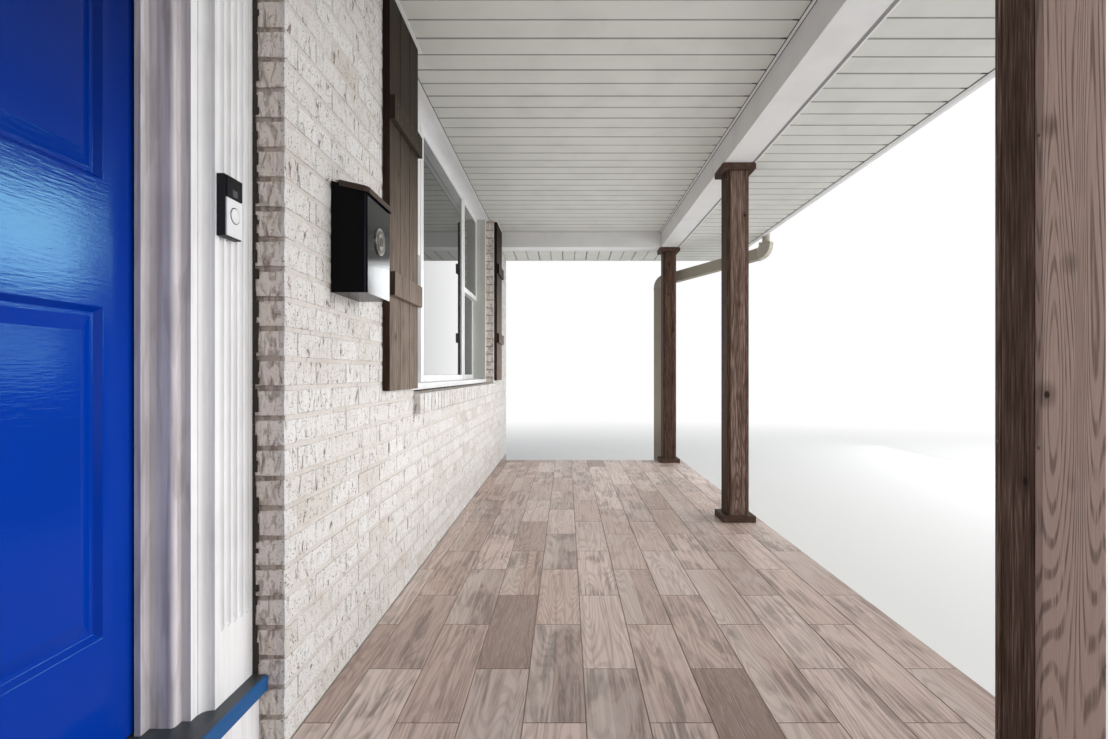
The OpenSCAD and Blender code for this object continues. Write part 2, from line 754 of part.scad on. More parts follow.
// Mailbox, in a frame with Y as the reach from the wall and Z from its floor
mail_x = (entry_right + window_x - shutter_gap - shutter_w) / 2 + mail_off;
module at_mailbox() translate([mail_x, face_y, floor_h + mail_level]) mirror([0, 1, 0])
  children();
mail_pin_y = 20;
mail_pin_drop = 3;
mail_pin_r = 2;
mail_pin_play = 0.08;
mail_knuckle_r = 4;
lid_lip = 17;
lid_back = mail_pin_y + lid_gap;
neck_back = mail_pin_y - 11;
web_t = 3;
// Height of the rim at a reach from the wall
function rim(y) = mail_h - mail_fall * y / mail_d;
mail_pin_z = rim(mail_pin_y) - mail_pin_drop;
// A bar along X between two slopes, one below the rim and one above it
module rim_bar(half, y0, y1, below, above) rotate([90, 0, 90]) translate([0, 0, -half])
  linear_extrude(2 * half)
    polygon([[y0, rim(y0) - below], [y1, rim(y1) - below], [y1, rim(y1) + above],
      [y0, rim(y0) + above]]);
// A block with the mailbox's plan, grown, between two such slopes
module mailbox_block(grow, back, foot, below, above) intersection() {
  translate([0, 0, foot]) linear_extrude(2 * mail_h)
    rounded_plan(mail_w + 2 * grow, back, mail_d + grow, mail_round + grow);
  rim_bar(mail_w, back - past, mail_d + grow + past, below, above);
}
module mailbox_body() color("#17181a") at_mailbox() {
  difference() {
    mailbox_block(0, 0, 0, 2 * mail_h, 0);
    mailbox_block(-mail_t, mail_t, mail_t, 2 * mail_h, mail_t);
  }
  translate([mail_t / 2 - mail_w / 2, mail_pin_y, mail_pin_z]) rotate([0, 90, 0])
    cylinder(h = mail_w - mail_t, r = mail_pin_r);
}
knuckle_half = mail_w / 2 - mail_t - lid_gap;
module mailbox_lid() color("#17181a") at_mailbox() difference() {
  union() {
    difference() {
      mailbox_block(lid_gap + mail_t, lid_back, 0, lid_lip - lid_gap - mail_t,
        lid_gap + mail_t);
      mailbox_block(lid_gap, lid_back - past, 0, lid_lip, lid_gap);
    }
    // Neck and web that carry the knuckle between the side walls
    rim_bar(knuckle_half, neck_back, lid_back + past, -lid_gap, lid_gap + mail_t);
    translate([-knuckle_half, mail_pin_y - web_t / 2, mail_pin_z])
      cube([2 * knuckle_half, web_t, mail_pin_drop + lid_gap + past]);
    translate([-knuckle_half, mail_pin_y, mail_pin_z]) rotate([0, 90, 0])
      cylinder(h = 2 * knuckle_half, r = mail_knuckle_r);
  }
  translate([-mail_w / 2, mail_pin_y, mail_pin_z]) rotate([0, 90, 0])
    cylinder(h = mail_w, r = mail_pin_r + mail_pin_play);
}
medallion_t = 3;
medallion_rim = 5;
module mailbox_medallion() color("#c9c7c1") at_mailbox()
  translate([0, mail_d, medallion_level]) rotate([-90, 0, 0]) difference() {
    cylinder(h = medallion_rim, d = medallion_d);
    translate([0, 0, medallion_t])
      cylinder(h = medallion_rim, d = medallion_d - 2 * medallion_rim);
  }

porch_slab();
floor_tiles();
foundation();
brick_left();
brick_pier();
brick_apron();
brick_right();
window_sill_bricks();
wall_left();
wall_middle();
wall_below_window();
wall_right();
wall_top();
window_frame();
window_sashes();
window_glass();
shutter_left();
shutter_right();
door_leaf();
door_lockset();
door_hinge_leaves();
frame_hinge_leaves();
door_jambs();
door_head();
door_sill();
door_riser();
pilasters();
entry_head();
post_1();
post_2();
post_3();
post_4();
post_rings();
front_beam();
end_beams();
porch_ceiling();
front_soffit();
end_soffits();
front_fascia();
end_fascias();
roof_deck();
roof_shingles();
gutter();
downspout();
doorbell();
mailbox_body();
mailbox_lid();
mailbox_medallion();
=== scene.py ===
"""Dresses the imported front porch: its camera and light, its finishes and its modelled pieces.

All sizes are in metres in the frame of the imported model: X runs along the wall, to the
right when facing the house, Y runs into the house and Z is up from the ground.
"""
import logging
import math
import random
from collections.abc import Callable, Iterator, Sequence
from contextlib import contextmanager
from dataclasses import dataclass
from enum import Enum
from itertools import product

import bpy
import numpy as np
from mathutils import Euler, Matrix, Vector


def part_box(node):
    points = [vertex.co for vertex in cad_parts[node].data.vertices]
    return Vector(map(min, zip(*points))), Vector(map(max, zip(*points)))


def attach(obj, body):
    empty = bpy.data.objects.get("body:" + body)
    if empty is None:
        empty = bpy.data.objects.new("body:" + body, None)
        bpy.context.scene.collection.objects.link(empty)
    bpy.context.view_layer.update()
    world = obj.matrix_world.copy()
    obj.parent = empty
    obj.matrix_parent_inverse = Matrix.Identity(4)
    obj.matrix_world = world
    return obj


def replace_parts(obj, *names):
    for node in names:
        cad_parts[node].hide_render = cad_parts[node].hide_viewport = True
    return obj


log = logging.getLogger("porch")
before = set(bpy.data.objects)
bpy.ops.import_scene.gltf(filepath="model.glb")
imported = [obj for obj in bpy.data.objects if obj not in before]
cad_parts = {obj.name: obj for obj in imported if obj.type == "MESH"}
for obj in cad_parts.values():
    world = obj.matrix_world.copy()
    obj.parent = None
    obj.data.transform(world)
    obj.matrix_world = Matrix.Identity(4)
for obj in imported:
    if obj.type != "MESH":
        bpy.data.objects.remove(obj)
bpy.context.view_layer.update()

Point = tuple[float, float, float]
Colour = tuple[float, float, float]

# How a tone moves a finish's pattern, in metres
TONE_SHIFT = (31.0, 17.0, 23.0)
# The least turn of an edge that is eased, and the limits of the clean-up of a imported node
EASE_FROM = math.radians(30)
MERGE_WITHIN = 1e-5
FLAT_WITHIN = math.radians(0.5)
# Less than any piece is thick, to tell its near end from its far one
THIN = 0.001
# A face counts as turned to a side when its normal's part towards it is above this
TURNED = 0.7
# The sides of a small round head and of a disc
FEW_SIDES = 10
DISC_SIDES = 48
# The slope inside a disc's rim as a share of its sink, and its easing as a share of the rim or sink
DISC_SLOPE = 0.7
DISC_ARRIS = 0.3


class Axis(Enum):
    """A direction of the frame."""

    X = 0
    Y = 1
    Z = 2


class Part(Enum):
    """What is selected in edit mode, by the name of its list in a mesh."""

    EDGE = "edges"
    FACE = "polygons"


class Reach(Enum):
    """Which pieces a lamp lights, as Blender's light linking calls it."""

    ONLY = "INCLUDE"
    ALL_BUT = "EXCLUDE"


# Shader nodes

class Value:
    """A socket in a node tree; arithmetic on it adds Math nodes."""

    def __init__(self, tree: "Tree", socket: bpy.types.NodeSocket) -> None:
        """Wraps a socket of a tree."""
        self.tree = tree
        self.socket = socket

    def math(self, operation: str, first: object, second: object = 0.0) -> "Value":
        """Adds a Math node.

        Args:
            operation: the node's operation.
            first: its first value, a number or a Value.
            second: its second value.

        Returns:
            The node's result.
        """
        node = self.tree.node("ShaderNodeMath", {"operation": operation}, {0: first, 1: second})
        return Value(self.tree, node.outputs[0])

    def __add__(self, other: object) -> "Value":
        """Sum."""
        return self.math("ADD", self, other)

    __radd__ = __add__

    def __sub__(self, other: object) -> "Value":
        """Difference."""
        return self.math("SUBTRACT", self, other)

    def __rsub__(self, other: object) -> "Value":
        """Difference from a number."""
        return self.math("SUBTRACT", other, self)

    def __mul__(self, other: object) -> "Value":
        """Product."""
        return self.math("MULTIPLY", self, other)

    __rmul__ = __mul__

    def waves(self, turn: float) -> "Value":
        """The sine of the value times a turn in radians, which draws the value's contour lines."""
        return self.math("SINE", self * turn)

    def part(self, count: float) -> "Value":
        """The fraction left of the value times a count, which deals values out anew."""
        return self.math("FRACT", self * count)

    def above(self, edge: float, soft: float) -> "Value":
        """One where the value lies above an edge, and zero below it.

        Args:
            edge: the middle of the step.
            soft: the width of the step.

        Returns:
            The mask.
        """
        settings = {"interpolation_type": "SMOOTHSTEP"}
        node = self.tree.node("ShaderNodeMapRange", settings,
                              {"Value": self, "From Min": edge - soft / 2, "From Max": edge + soft / 2})
        return Value(self.tree, node.outputs[0])


class Tree:
    """The node tree of one material, round its Principled shader."""

    def __init__(self, name: str) -> None:
        """Makes an empty material of that name."""
        self.material = bpy.data.materials.new(name)
        self.material.use_nodes = True
        self.links = self.material.node_tree.links
        self.shader = self.material.node_tree.nodes["Principled BSDF"]

    def node(self, kind: str, settings: dict | None = None, inputs: dict | None = None) -> bpy.types.Node:
        """Adds a node.

        Args:
            kind: its type.
            settings: its properties, set before the inputs.
            inputs: values, Values or sockets by the input's name or number.

        Returns:
            The node.
        """
        made = self.material.node_tree.nodes.new(kind)
        for key, value in (settings or {}).items():
            setattr(made, key, value)
        for key, value in (inputs or {}).items():
            self.plug(made.inputs[key], value)
        return made

    def plug(self, target: bpy.types.NodeSocket, value: object) -> None:
        """Links a Value or a socket to an input, or writes a number or a colour into it."""
        if isinstance(value, Value):
            value = value.socket
        if isinstance(value, bpy.types.NodeSocket):
            self.links.new(value, target)
        elif isinstance(value, tuple) and len(value) == 3 and target.type == "RGBA":
            target.default_value = (*value, 1.0)
        else:
            target.default_value = value

    def place(self, stretch: Point = (1, 1, 1), shift: Value | None = None) -> bpy.types.NodeSocket:
        """Object coordinates, stretched and moved along by a value.

        Args:
            stretch: the factor along each axis.
            shift: a value that moves the pattern to another part of itself.

        Returns:
            The coordinates.
        """
        where = self.node("ShaderNodeTexCoord").outputs["Object"]
        if shift is not None:
            away = self.node("ShaderNodeVectorMath", {"operation": "SCALE"},
                             {0: TONE_SHIFT, "Scale": shift}).outputs[0]
            where = self.node("ShaderNodeVectorMath", {"operation": "ADD"}, {0: where, 1: away}).outputs[0]
        return self.node("ShaderNodeVectorMath", {"operation": "MULTIPLY"}, {0: where, 1: stretch}).outputs[0]

    def noise(self, scale: float, where: bpy.types.NodeSocket | None = None, detail: float = 3.0,
              distortion: float = 0.0) -> Value:
        """A cloudy value between zero and one.

        Args:
            scale: its scale, per metre.
            where: its coordinates, or None for plain Object coordinates.
            detail: its octaves.
            distortion: how far it is stirred.

        Returns:
            The value.
        """
        node = self.node("ShaderNodeTexNoise", {}, {
            "Vector": where or self.place(), "Scale": scale, "Detail": detail,
            "Distortion": distortion})
        return Value(self, node.outputs[0])

    def coordinate(self, axis: Axis) -> Value:
        """One of the Object coordinates."""
        node = self.node("ShaderNodeSeparateXYZ", {}, {0: self.node("ShaderNodeTexCoord").outputs["Object"]})
        return Value(self, node.outputs[axis.value])

    def attribute(self, name: str) -> Value:
        """A value that the mesh carries."""
        return Value(self, self.node("ShaderNodeAttribute", {"attribute_name": name}).outputs["Fac"])

    def ramp(self, value: Value, stops: Sequence[tuple[float, Colour]]) -> bpy.types.NodeSocket:
        """Turns a value into a colour.

        Args:
            value: the value.
            stops: places between zero and one, and their colours.

        Returns:
            The colour.
        """
        node = self.node("ShaderNodeValToRGB", {}, {0: value})
        elements = node.color_ramp.elements
        while len(elements) < len(stops):
            elements.new(0.5)
        for element, (position, colour) in zip(elements, stops):
            element.position = position
            element.color = (*colour, 1.0)
        return node.outputs[0]

    def mix(self, mask: object, first: object, second: object) -> bpy.types.NodeSocket:
        """Mixes two colours by a mask between zero and one."""
        node = self.node("ShaderNodeMix", {"data_type": "RGBA"}, {0: mask, 6: first, 7: second})
        return node.outputs[2]

    def bump(self, height: Value, depth: float, strength: float = 1.0) -> bpy.types.NodeSocket:
        """A normal that follows a height.

        Args:
            height: the height between zero and one.
            depth: the depth in metres that it stands for.
            strength: how much of it shows.

        Returns:
            The normal.
        """
        node = self.node("ShaderNodeBump", {}, {"Height": height, "Distance": depth, "Strength": strength})
        return node.outputs[0]

    def surface(self, **inputs: object) -> bpy.types.Material:
        """Fills the shader's inputs, with _ for a blank in their names, and returns the material."""
        for key, value in inputs.items():
            self.plug(self.shader.inputs[key.replace("_", " ")], value)
        return self.material


# Finishes

def dimmed(colour: Colour, share: float) -> Colour:
    """A colour times a share."""
    red, green, blue = colour
    return red * share, green * share, blue * share


@dataclass(frozen=True)
class Finish:
    """A finish: the material's name and the record's slot."""

    name: str
    slot: str

    def paint(self, tree: Tree) -> bpy.types.Material:
        """Fills the tree: scales in it are per metre, depths in metres, and the rest are shares."""
        raise NotImplementedError

    def material(self) -> bpy.types.Material:
        """The finish's material, made the first time it is asked for."""
        return bpy.data.materials.get(self.name) or self.paint(Tree(self.name))


@dataclass(frozen=True)
class Coating(Finish):
    """Paint, enamel, coil coating or vinyl: an even colour with faint wear."""

    colour: Colour
    roughness: float = 0.4
    coat: float = 0.0
    soil: float = 0.06
    wave: float = 0.0
    brush: float = 0.0
    sheen: float = 0.5
    streaks: float = 0.0
    streak: Colour = (0.26, 0.22, 0.21)
    shade: float = 0.0
    shade_level: float = 1.6
    grain: Point = (1, 1, 0.12)
    brush_scale: float = 90.0

    def paint(self, tree: Tree) -> bpy.types.Material:
        """Adds cloudy soiling, brush marks, upright streaks, painted shade at the head and a faint wave."""
        cloud = tree.noise(5.0, detail=5.0)
        fine = tree.noise(self.brush_scale, tree.place(self.grain), detail=2.0)
        mask = cloud.above(0.56, 0.3) * self.soil * 4 + fine * self.soil
        base = tree.mix(mask, self.colour, dimmed(self.colour, 0.72))
        if self.streaks:
            runs = tree.noise(75.0, tree.place((1, 1, 0.025)), detail=5.0, distortion=0.3)
            base = tree.mix(runs.above(0.57, 0.22) * self.streaks, base, self.streak)
            smears = tree.noise(26.0, tree.place((1, 1, 0.16)), detail=6.0, distortion=0.9)
            base = tree.mix(smears.above(0.56, 0.1) * self.streaks * 0.5, base, self.streak)
        if self.shade:
            # painted shade: the colour darkens towards the head, above shade_level
            head = tree.coordinate(Axis.Z).above(self.shade_level, 1.3)
            base = tree.mix(head * self.shade, base, dimmed(self.colour, 0.12))
        height = fine * self.brush + tree.noise(2.2, detail=0.0) * self.wave + tree.noise(260.0) * 0.04
        return tree.surface(Base_Color=base, Coat_Weight=self.coat,
                            Roughness=self.roughness + cloud * 0.12 - 0.06, Coat_Roughness=0.08,
                            Specular_IOR_Level=self.sheen, Normal=tree.bump(height, 0.0012))


@dataclass(frozen=True)
class Masonry(Finish):
    """Rough stuff with a colour of its own for each unit: brick, mortar or concrete.

    The return, behind inner_from along Y, takes painted light and shade by the share inner.
    """

    tones: tuple[tuple[float, Colour], ...]
    stain: Colour = (0.3, 0.24, 0.2)
    staining: float = 0.5
    specks: float = 0.6
    depth: float = 0.003
    inner: float = 0.0
    inner_from: float = 1.2
    painted_return_tone: Colour = (0.40, 0.29, 0.23)
    painted_crease_shade: Colour = (0.14, 0.10, 0.08)

    def paint(self, tree: Tree) -> bpy.types.Material:
        """Adds stains, dark specks, a rough face, painted shade in creases, and the painted return tone."""
        tone = tree.attribute("tone")
        where = tree.place(shift=tone)
        base = tree.ramp(tone, self.tones)
        blotch = tree.noise(6.0, detail=8.0)
        base = tree.mix(blotch.above(0.6, 0.3) * self.staining, base, self.stain)
        folds = tree.noise(58.0, tree.place((1, 1, 0.36), tone), detail=6.0, distortion=0.9)
        # painted shade in the creases and pits of the folds, partly worn whitewash
        base = tree.mix(folds.above(0.57, 0.16) * self.specks * 0.34, base, self.stain)
        pit = folds.above(0.66, 0.04) * self.specks
        speck = tree.noise(190.0, where, detail=2.0).above(0.65, 0.05) * self.specks
        base = tree.mix(pit * 0.85, base, dimmed(self.stain, 0.5))
        base = tree.mix(speck * 0.8, base, dimmed(self.stain, 0.4))
        # painted light and shade on the return: a warm tint on brick, a dark tone in the mortar, and shaded
        # creases
        if self.inner:
            behind = tree.coordinate(Axis.Y).above(self.inner_from, 0.012) * self.inner
            base = tree.mix(behind, base, self.painted_return_tone)
            base = tree.mix(behind * folds.above(0.53, 0.12), base, self.painted_crease_shade)
        height = tree.noise(240.0, where, detail=3.0) * 0.16 - folds - speck * 0.3 - pit * 0.35
        return tree.surface(Base_Color=base, Roughness=0.92, Normal=tree.bump(height, self.depth))


@dataclass(frozen=True)
class Timber(Finish):
    """Sawn boards with streaked grain along one axis, and knots."""

    dark: Colour
    middle: Colour
    light: Colour
    along: Axis = Axis.Z
    knots: float = 1.0
    growth: float = 0.45
    roughness: float = 0.62
    shade_above: float = 9.0

    def drawn_out(self, tree: Tree, tone: Value, share: float) -> bpy.types.NodeSocket:
        """Coordinates that draw a pattern out along the grain and shift it for each tone."""
        return tree.place(tuple(share if axis is self.along else 1.0 for axis in Axis), tone)

    def paint(self, tree: Tree) -> bpy.types.Material:
        """Adds grain, growth lines, knots, painted side light and shade, and painted shade at the head."""
        tone = tree.attribute("tone")
        bleach = tree.attribute("bleach")
        broad = tree.noise(26.0, self.drawn_out(tree, tone, 0.04), detail=4.0, distortion=1.2)
        fine = tree.noise(210.0, self.drawn_out(tree, tone, 0.04), detail=4.0)
        rings = tree.noise(8.0, self.drawn_out(tree, tone, 0.055), detail=1.3).waves(300.0).above(0.5, 1.0)
        # painted light and shade per board: bleach lightens the colour, darkens it below zero, and fades
        # growth lines on shaded boards
        rings = rings * (0.25 + bleach.above(-0.3, 1.0))
        grain = broad * 0.3 + fine * 0.7
        colour = tree.ramp(grain + tone * 0.12 - 0.06 + bleach * 0.16, (
            (0.31, self.dark), (0.5, self.middle), (0.72, self.light)))
        colour = tree.mix(rings * fine.above(0.45, 0.3) * self.growth, colour, self.dark)
        # painted shade: the boards darken above shade_above
        shade = tree.coordinate(Axis.Z).above(self.shade_above, 0.9)
        colour = tree.mix(shade * 0.9, colour, dimmed(self.dark, 0.6))
        where = self.drawn_out(tree, tone, 0.7)
        spots = tree.node("ShaderNodeTexVoronoi", {}, {"Vector": where, "Scale": 9.0})
        middle = Value(tree, spots.outputs["Distance"])
        knot = (1 - middle.above(0.075, 0.03)) * self.knots
        halo = (1 - middle.above(0.17, 0.15)) * self.knots
        colour = tree.mix(halo * 0.45, colour, self.dark)
        colour = tree.mix(knot * 0.9, colour, dimmed(self.dark, 0.2))
        return tree.surface(Base_Color=colour, Roughness=self.roughness + grain * 0.2 - 0.1,
                            Specular_IOR_Level=0.12,
                            Normal=tree.bump(grain - knot * 0.3 - rings * 0.25, 0.0014))


@dataclass(frozen=True)
class PlankTile(Finish):
    """Porcelain planks with a printed wood grain, each in a shade of its own."""

    tones: tuple[tuple[float, Colour], ...] = (
        (0.0, (0.310, 0.226, 0.190)), (0.17, (0.590, 0.450, 0.390)), (0.34, (0.458, 0.354, 0.314)),
        (0.52, (0.712, 0.570, 0.512)), (0.70, (0.525, 0.384, 0.322)), (0.85, (0.722, 0.602, 0.548)),
        (1.0, (0.392, 0.298, 0.262)))
    vein: Colour = (0.150, 0.100, 0.078)
    growth: Colour = (0.180, 0.120, 0.094)
    pale_half: Colour = (0.680, 0.590, 0.530)
    wear: Colour = (0.165, 0.132, 0.118)
    bloom: Colour = (0.700, 0.620, 0.570)
    fleck: Colour = (0.600, 0.520, 0.470)

    def paint(self, tree: Tree) -> bpy.types.Material:
        """Adds the shade of each plank, its grain, and a paler half or worn patches on some."""
        tone = tree.attribute("tone")
        base = tree.ramp(tone, self.tones)
        grain = tree.noise(70.0, tree.place((0.045, 1, 1), tone), detail=7.0, distortion=0.35)
        fine = tree.noise(420.0, tree.place((0.05, 1, 1), tone), detail=2.0)
        growth = tree.noise(6.0, tree.place((0.11, 1, 1), tone), detail=2.0, distortion=0.3)
        rings = growth.waves(190.0).above(0.35, 1.1)
        patch = tree.noise(11.0, tree.place((0.4, 1, 1), tone), detail=9.0, distortion=0.5)
        base = tree.mix(grain.above(0.57, 0.24) * 0.38, base, self.vein)
        half = tree.attribute("across").above(0.56, 0.03) * tone.part(7.0).above(0.74, 0.02)
        base = tree.mix(half * 0.5, base, self.pale_half)
        base = tree.mix(rings * 0.26, base, self.growth)
        worn = patch.above(0.53, 0.16) * grain.above(0.47, 0.2) * tone.part(13.0).above(0.5, 0.02)
        base = tree.mix(worn * 0.55, base, self.wear)
        faded = (1 - patch.above(0.45, 0.1)) * tone.part(5.0).above(0.6, 0.02)
        base = tree.mix(faded * 0.2, base, self.bloom)
        base = tree.mix(fine.above(0.58, 0.2) * 0.28, base, self.fleck)
        return tree.surface(Base_Color=base, Roughness=0.42 + patch * 0.2, Specular_IOR_Level=0.3,
                            Normal=tree.bump(grain + fine * 0.4 - rings * 0.3, 0.0006))


@dataclass(frozen=True)
class Metal(Finish):
    """Bare or plated metal."""

    colour: Colour
    roughness: float = 0.3

    def paint(self, tree: Tree) -> bpy.types.Material:
        """Adds fine brushing."""
        fine = tree.noise(500.0, tree.place((1, 1, 0.1)), detail=1.0)
        worn = tree.mix(fine * 0.3, self.colour, dimmed(self.colour, 0.7))
        return tree.surface(Base_Color=worn, Metallic=1.0, Roughness=self.roughness + fine * 0.12,
                            Normal=tree.bump(fine, 0.00008))


@dataclass(frozen=True)
class Pane(Finish):
    """Window glass in front of a dim room."""

    colour: Colour

    def paint(self, tree: Tree) -> bpy.types.Material:
        """A dark mirror with a slight wave."""
        wave = tree.noise(1.6, detail=0.0)
        return tree.surface(Base_Color=self.colour, Roughness=0.02, IOR=1.6,
                            Normal=tree.bump(wave, 0.003, 0.3))


@dataclass(frozen=True)
class Granules(Finish):
    """Asphalt shingles, a shade for each tab."""

    tones: tuple[tuple[float, Colour], ...] = (
        (0.0, (0.056, 0.051, 0.048)), (0.5, (0.075, 0.068, 0.063)), (1.0, (0.094, 0.085, 0.078)))
    grain: Colour = (0.19, 0.175, 0.16)

    def paint(self, tree: Tree) -> bpy.types.Material:
        """Adds the shade of each tab and its mineral grains."""
        base = tree.ramp(tree.attribute("tone"), self.tones)
        grit = tree.noise(700.0, detail=1.0)
        base = tree.mix(grit.above(0.6, 0.1) * 0.5, base, self.grain)
        return tree.surface(Base_Color=base, Roughness=0.95, Normal=tree.bump(grit, 0.0015))


@dataclass(frozen=True)
class SillBoards(Finish):
    """A dark sill whose front edge, up to edge_depth along Y, has the door's paint."""

    top: Colour
    edge: Colour
    edge_depth: float

    def paint(self, tree: Tree) -> bpy.types.Material:
        """Parts the two colours at a line along the sill."""
        back = tree.coordinate(Axis.Y).above(self.edge_depth, 0.0015)
        wear = tree.noise(30.0, tree.place((0.2, 1, 1)), detail=5.0)
        top = tree.mix(wear.above(0.58, 0.2) * 0.5, self.top, dimmed(self.top, 2.1))
        return tree.surface(Base_Color=tree.mix(back, self.edge, top), Roughness=0.3 + wear * 0.3,
                            Normal=tree.bump(wear, 0.0008))


MORTAR_TONE = (0.60, 0.565, 0.535)
CONCRETE_TONE = (0.36, 0.34, 0.31)
GROUT_TONE = (0.27, 0.21, 0.17)
# inner and painted_return_tone paint a warm light on the bricks' return
BRICK = Masonry("whitewashed_brick", "brick", tones=(
    (0.0, (0.602, 0.570, 0.535)), (0.12, (0.644, 0.622, 0.598)), (0.4, (0.674, 0.662, 0.648)),
    (0.75, (0.698, 0.690, 0.681)), (1.0, (0.652, 0.634, 0.616))), stain=(0.40, 0.325, 0.275),
    staining=0.18, specks=1.0, depth=0.007, inner=0.4, painted_return_tone=(0.88, 0.72, 0.63))
# inner paints a dark shade on the mortar's return
MORTAR = Masonry("whitewashed_mortar", "brick", tones=((0.0, MORTAR_TONE), (1.0, MORTAR_TONE)),
                 stain=(0.32, 0.26, 0.22), staining=0.25, specks=0.4, inner=0.5)
CONCRETE = Masonry("broomed_concrete", "concrete", tones=((0.0, CONCRETE_TONE), (1.0, CONCRETE_TONE)),
                   stain=(0.22, 0.2, 0.18), staining=0.4, specks=0.2, depth=0.001)
GROUT = Masonry("tile_grout", "floor_tile", tones=((0.0, GROUT_TONE), (1.0, GROUT_TONE)),
                stain=(0.09, 0.08, 0.07), staining=0.4, specks=0.1, depth=0.0008)
PLANK_TILE = PlankTile("plank_tile", "floor_tile")
POST_CEDAR = Timber("post_cedar", "cedar", (0.040, 0.020, 0.012), (0.118, 0.073, 0.054),
                    (0.370, 0.270, 0.232))
# painted shade: shade_above darkens the shutters' upper part
SHUTTER_CEDAR = Timber("shutter_cedar", "cedar", (0.036, 0.028, 0.018), (0.200, 0.156, 0.127),
                       (0.320, 0.262, 0.224), knots=0.6, growth=0.25, roughness=0.7, shade_above=1.72)
# painted shade: a darker cedar for the shutters' sides towards the left end
SHUTTER_SHADED_EDGE = Timber("shutter_edge", "cedar", (0.018, 0.009, 0.006), (0.050, 0.028, 0.020),
                      (0.090, 0.055, 0.042), knots=0.0, roughness=0.7, shade_above=1.9)
RING_CEDAR = Timber("ring_cedar", "cedar", (0.030, 0.016, 0.011), (0.082, 0.050, 0.037),
                    (0.16, 0.105, 0.082), along=Axis.X, knots=0.0)
DECK_BOARD = Timber("deck_board", "roof_board", (0.26, 0.19, 0.11), (0.36, 0.27, 0.165),
                    (0.44, 0.34, 0.215), along=Axis.X, knots=0.5)
# painted shade: shade darkens the door towards its head
DOOR_PAINT = Coating("door_paint", "door_blue", (0.0, 0.036, 0.350), 0.12, soil=0.05, brush=0.17,
                     wave=0.6, sheen=0.15, shade=1.0, grain=(0.1, 1, 1), brush_scale=260.0)
TRIM_PAINT = Coating("trim_paint", "trim_white", (0.84, 0.84, 0.85), 0.4, soil=0.08, brush=0.5,
                     wave=0.3, streaks=0.12)
# painted shade: the trim's white made darker for the recessed jambs, with real dirt streaks over it
SHADED_JAMB_PAINT = Coating("jamb_paint", "trim_white", (0.665, 0.63, 0.655), 0.45, soil=0.14, brush=0.6,
                     wave=0.3, streaks=0.45, streak=(0.22, 0.19, 0.20))
VINYL = Coating("window_vinyl", "vinyl_white", (0.83, 0.84, 0.85), 0.34)
VINYL_SHADE = Coating("shaded_window_vinyl", "vinyl_white", (0.54, 0.55, 0.51), 0.34)
WHITE_METAL = Coating("white_coil_metal", "metal_white", (0.79, 0.79, 0.785), 0.38, wave=1.0)
SHADED_HEM = Coating("shaded_hem_metal", "metal_white", (0.30, 0.30, 0.29), 0.5)
SOFFIT = Coating("soffit_panel", "soffit_white", (0.665, 0.67, 0.63), 0.5, soil=0.06)
# painted shade: the groove faces of the soffit strips are painted darker
SOFFIT_GROOVE_SHADE = Coating("soffit_groove", "soffit_white", (0.38, 0.38, 0.355), 0.6, soil=0.1)
EAVE_SHADOW = Coating("eave_shadow", "soffit_white", (0.03, 0.029, 0.027), 0.8, soil=0.0)
# painted shade: the downspout's cream, darker than the ribs' cream of the same metal
SHADED_CREAM_METAL = Coating("cream_coil_metal", "downspout_metal", (0.34, 0.31, 0.255), 0.4, wave=0.5)
RIB_METAL = Coating("ribbed_coil_metal", "downspout_metal", (0.66, 0.63, 0.56), 0.4)
WALL_PAINT = Coating("wall_paint", "wallboard", (0.66, 0.65, 0.62), 0.7)
MAIL_ENAMEL = Coating("mailbox_enamel", "mailbox_black", (0.003, 0.003, 0.0034), 0.5, soil=0.02,
                      sheen=0.08)
MAIL_FRONT = Coating("mailbox_gloss", "mailbox_black", (0.004, 0.005, 0.008), 0.07, soil=0.02,
                     wave=0.9, sheen=0.22)
MAIL_UNDER = Coating("mailbox_underside", "mailbox_black", (0.004, 0.004, 0.005), 0.22, sheen=0.06)
MAIL_LID = Coating("mailbox_lid_enamel", "mailbox_black", (0.052, 0.032, 0.024), 0.4, soil=0.2, sheen=0.3)
BELL_BODY = Coating("bell_body", "bell_black", (0.012, 0.012, 0.014), 0.5, sheen=0.3)
BELL_LENS = Coating("bell_lens", "bell_black", (0.003, 0.003, 0.004), 0.2, soil=0.0, sheen=0.3)
BELL_EYE = Coating("bell_eye", "bell_black", (0.035, 0.042, 0.06), 0.15, coat=1.0, soil=0.0)
BELL_PLATE = Coating("bell_plate", "bell_black", (0.74, 0.75, 0.76), 0.35, soil=0.02)
DARK_GAP = Coating("shadow_brown", "brick", (0.035, 0.025, 0.02), 0.8, soil=0.0)
NICKEL = Metal("satin_nickel", "nickel", (0.74, 0.72, 0.68), 0.22)
DARK_NICKEL = Metal("aged_nickel", "nickel", (0.30, 0.29, 0.27), 0.3)
SCREW_STEEL = Metal("screw_steel", "cedar", (0.20, 0.17, 0.15), 0.45)
GLASS = Pane("window_glass", "pane", (0.030, 0.036, 0.036))
SHINGLE = Granules("asphalt_shingle", "shingle")
DARK_CARD = Coating("dark_card", "concrete", (0.02, 0.02, 0.022), 0.9)


# Modelling

def low_of(node: str) -> Vector:
    """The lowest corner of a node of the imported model."""
    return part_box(node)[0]


def high_of(node: str) -> Vector:
    """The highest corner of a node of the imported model."""
    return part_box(node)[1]


def pick(*objs: bpy.types.Object) -> None:
    """Selects these objects and no other, and makes the first one active."""
    bpy.ops.object.select_all(action="DESELECT")
    for obj in objs:
        obj.select_set(True)
    bpy.context.view_layer.objects.active = objs[0]


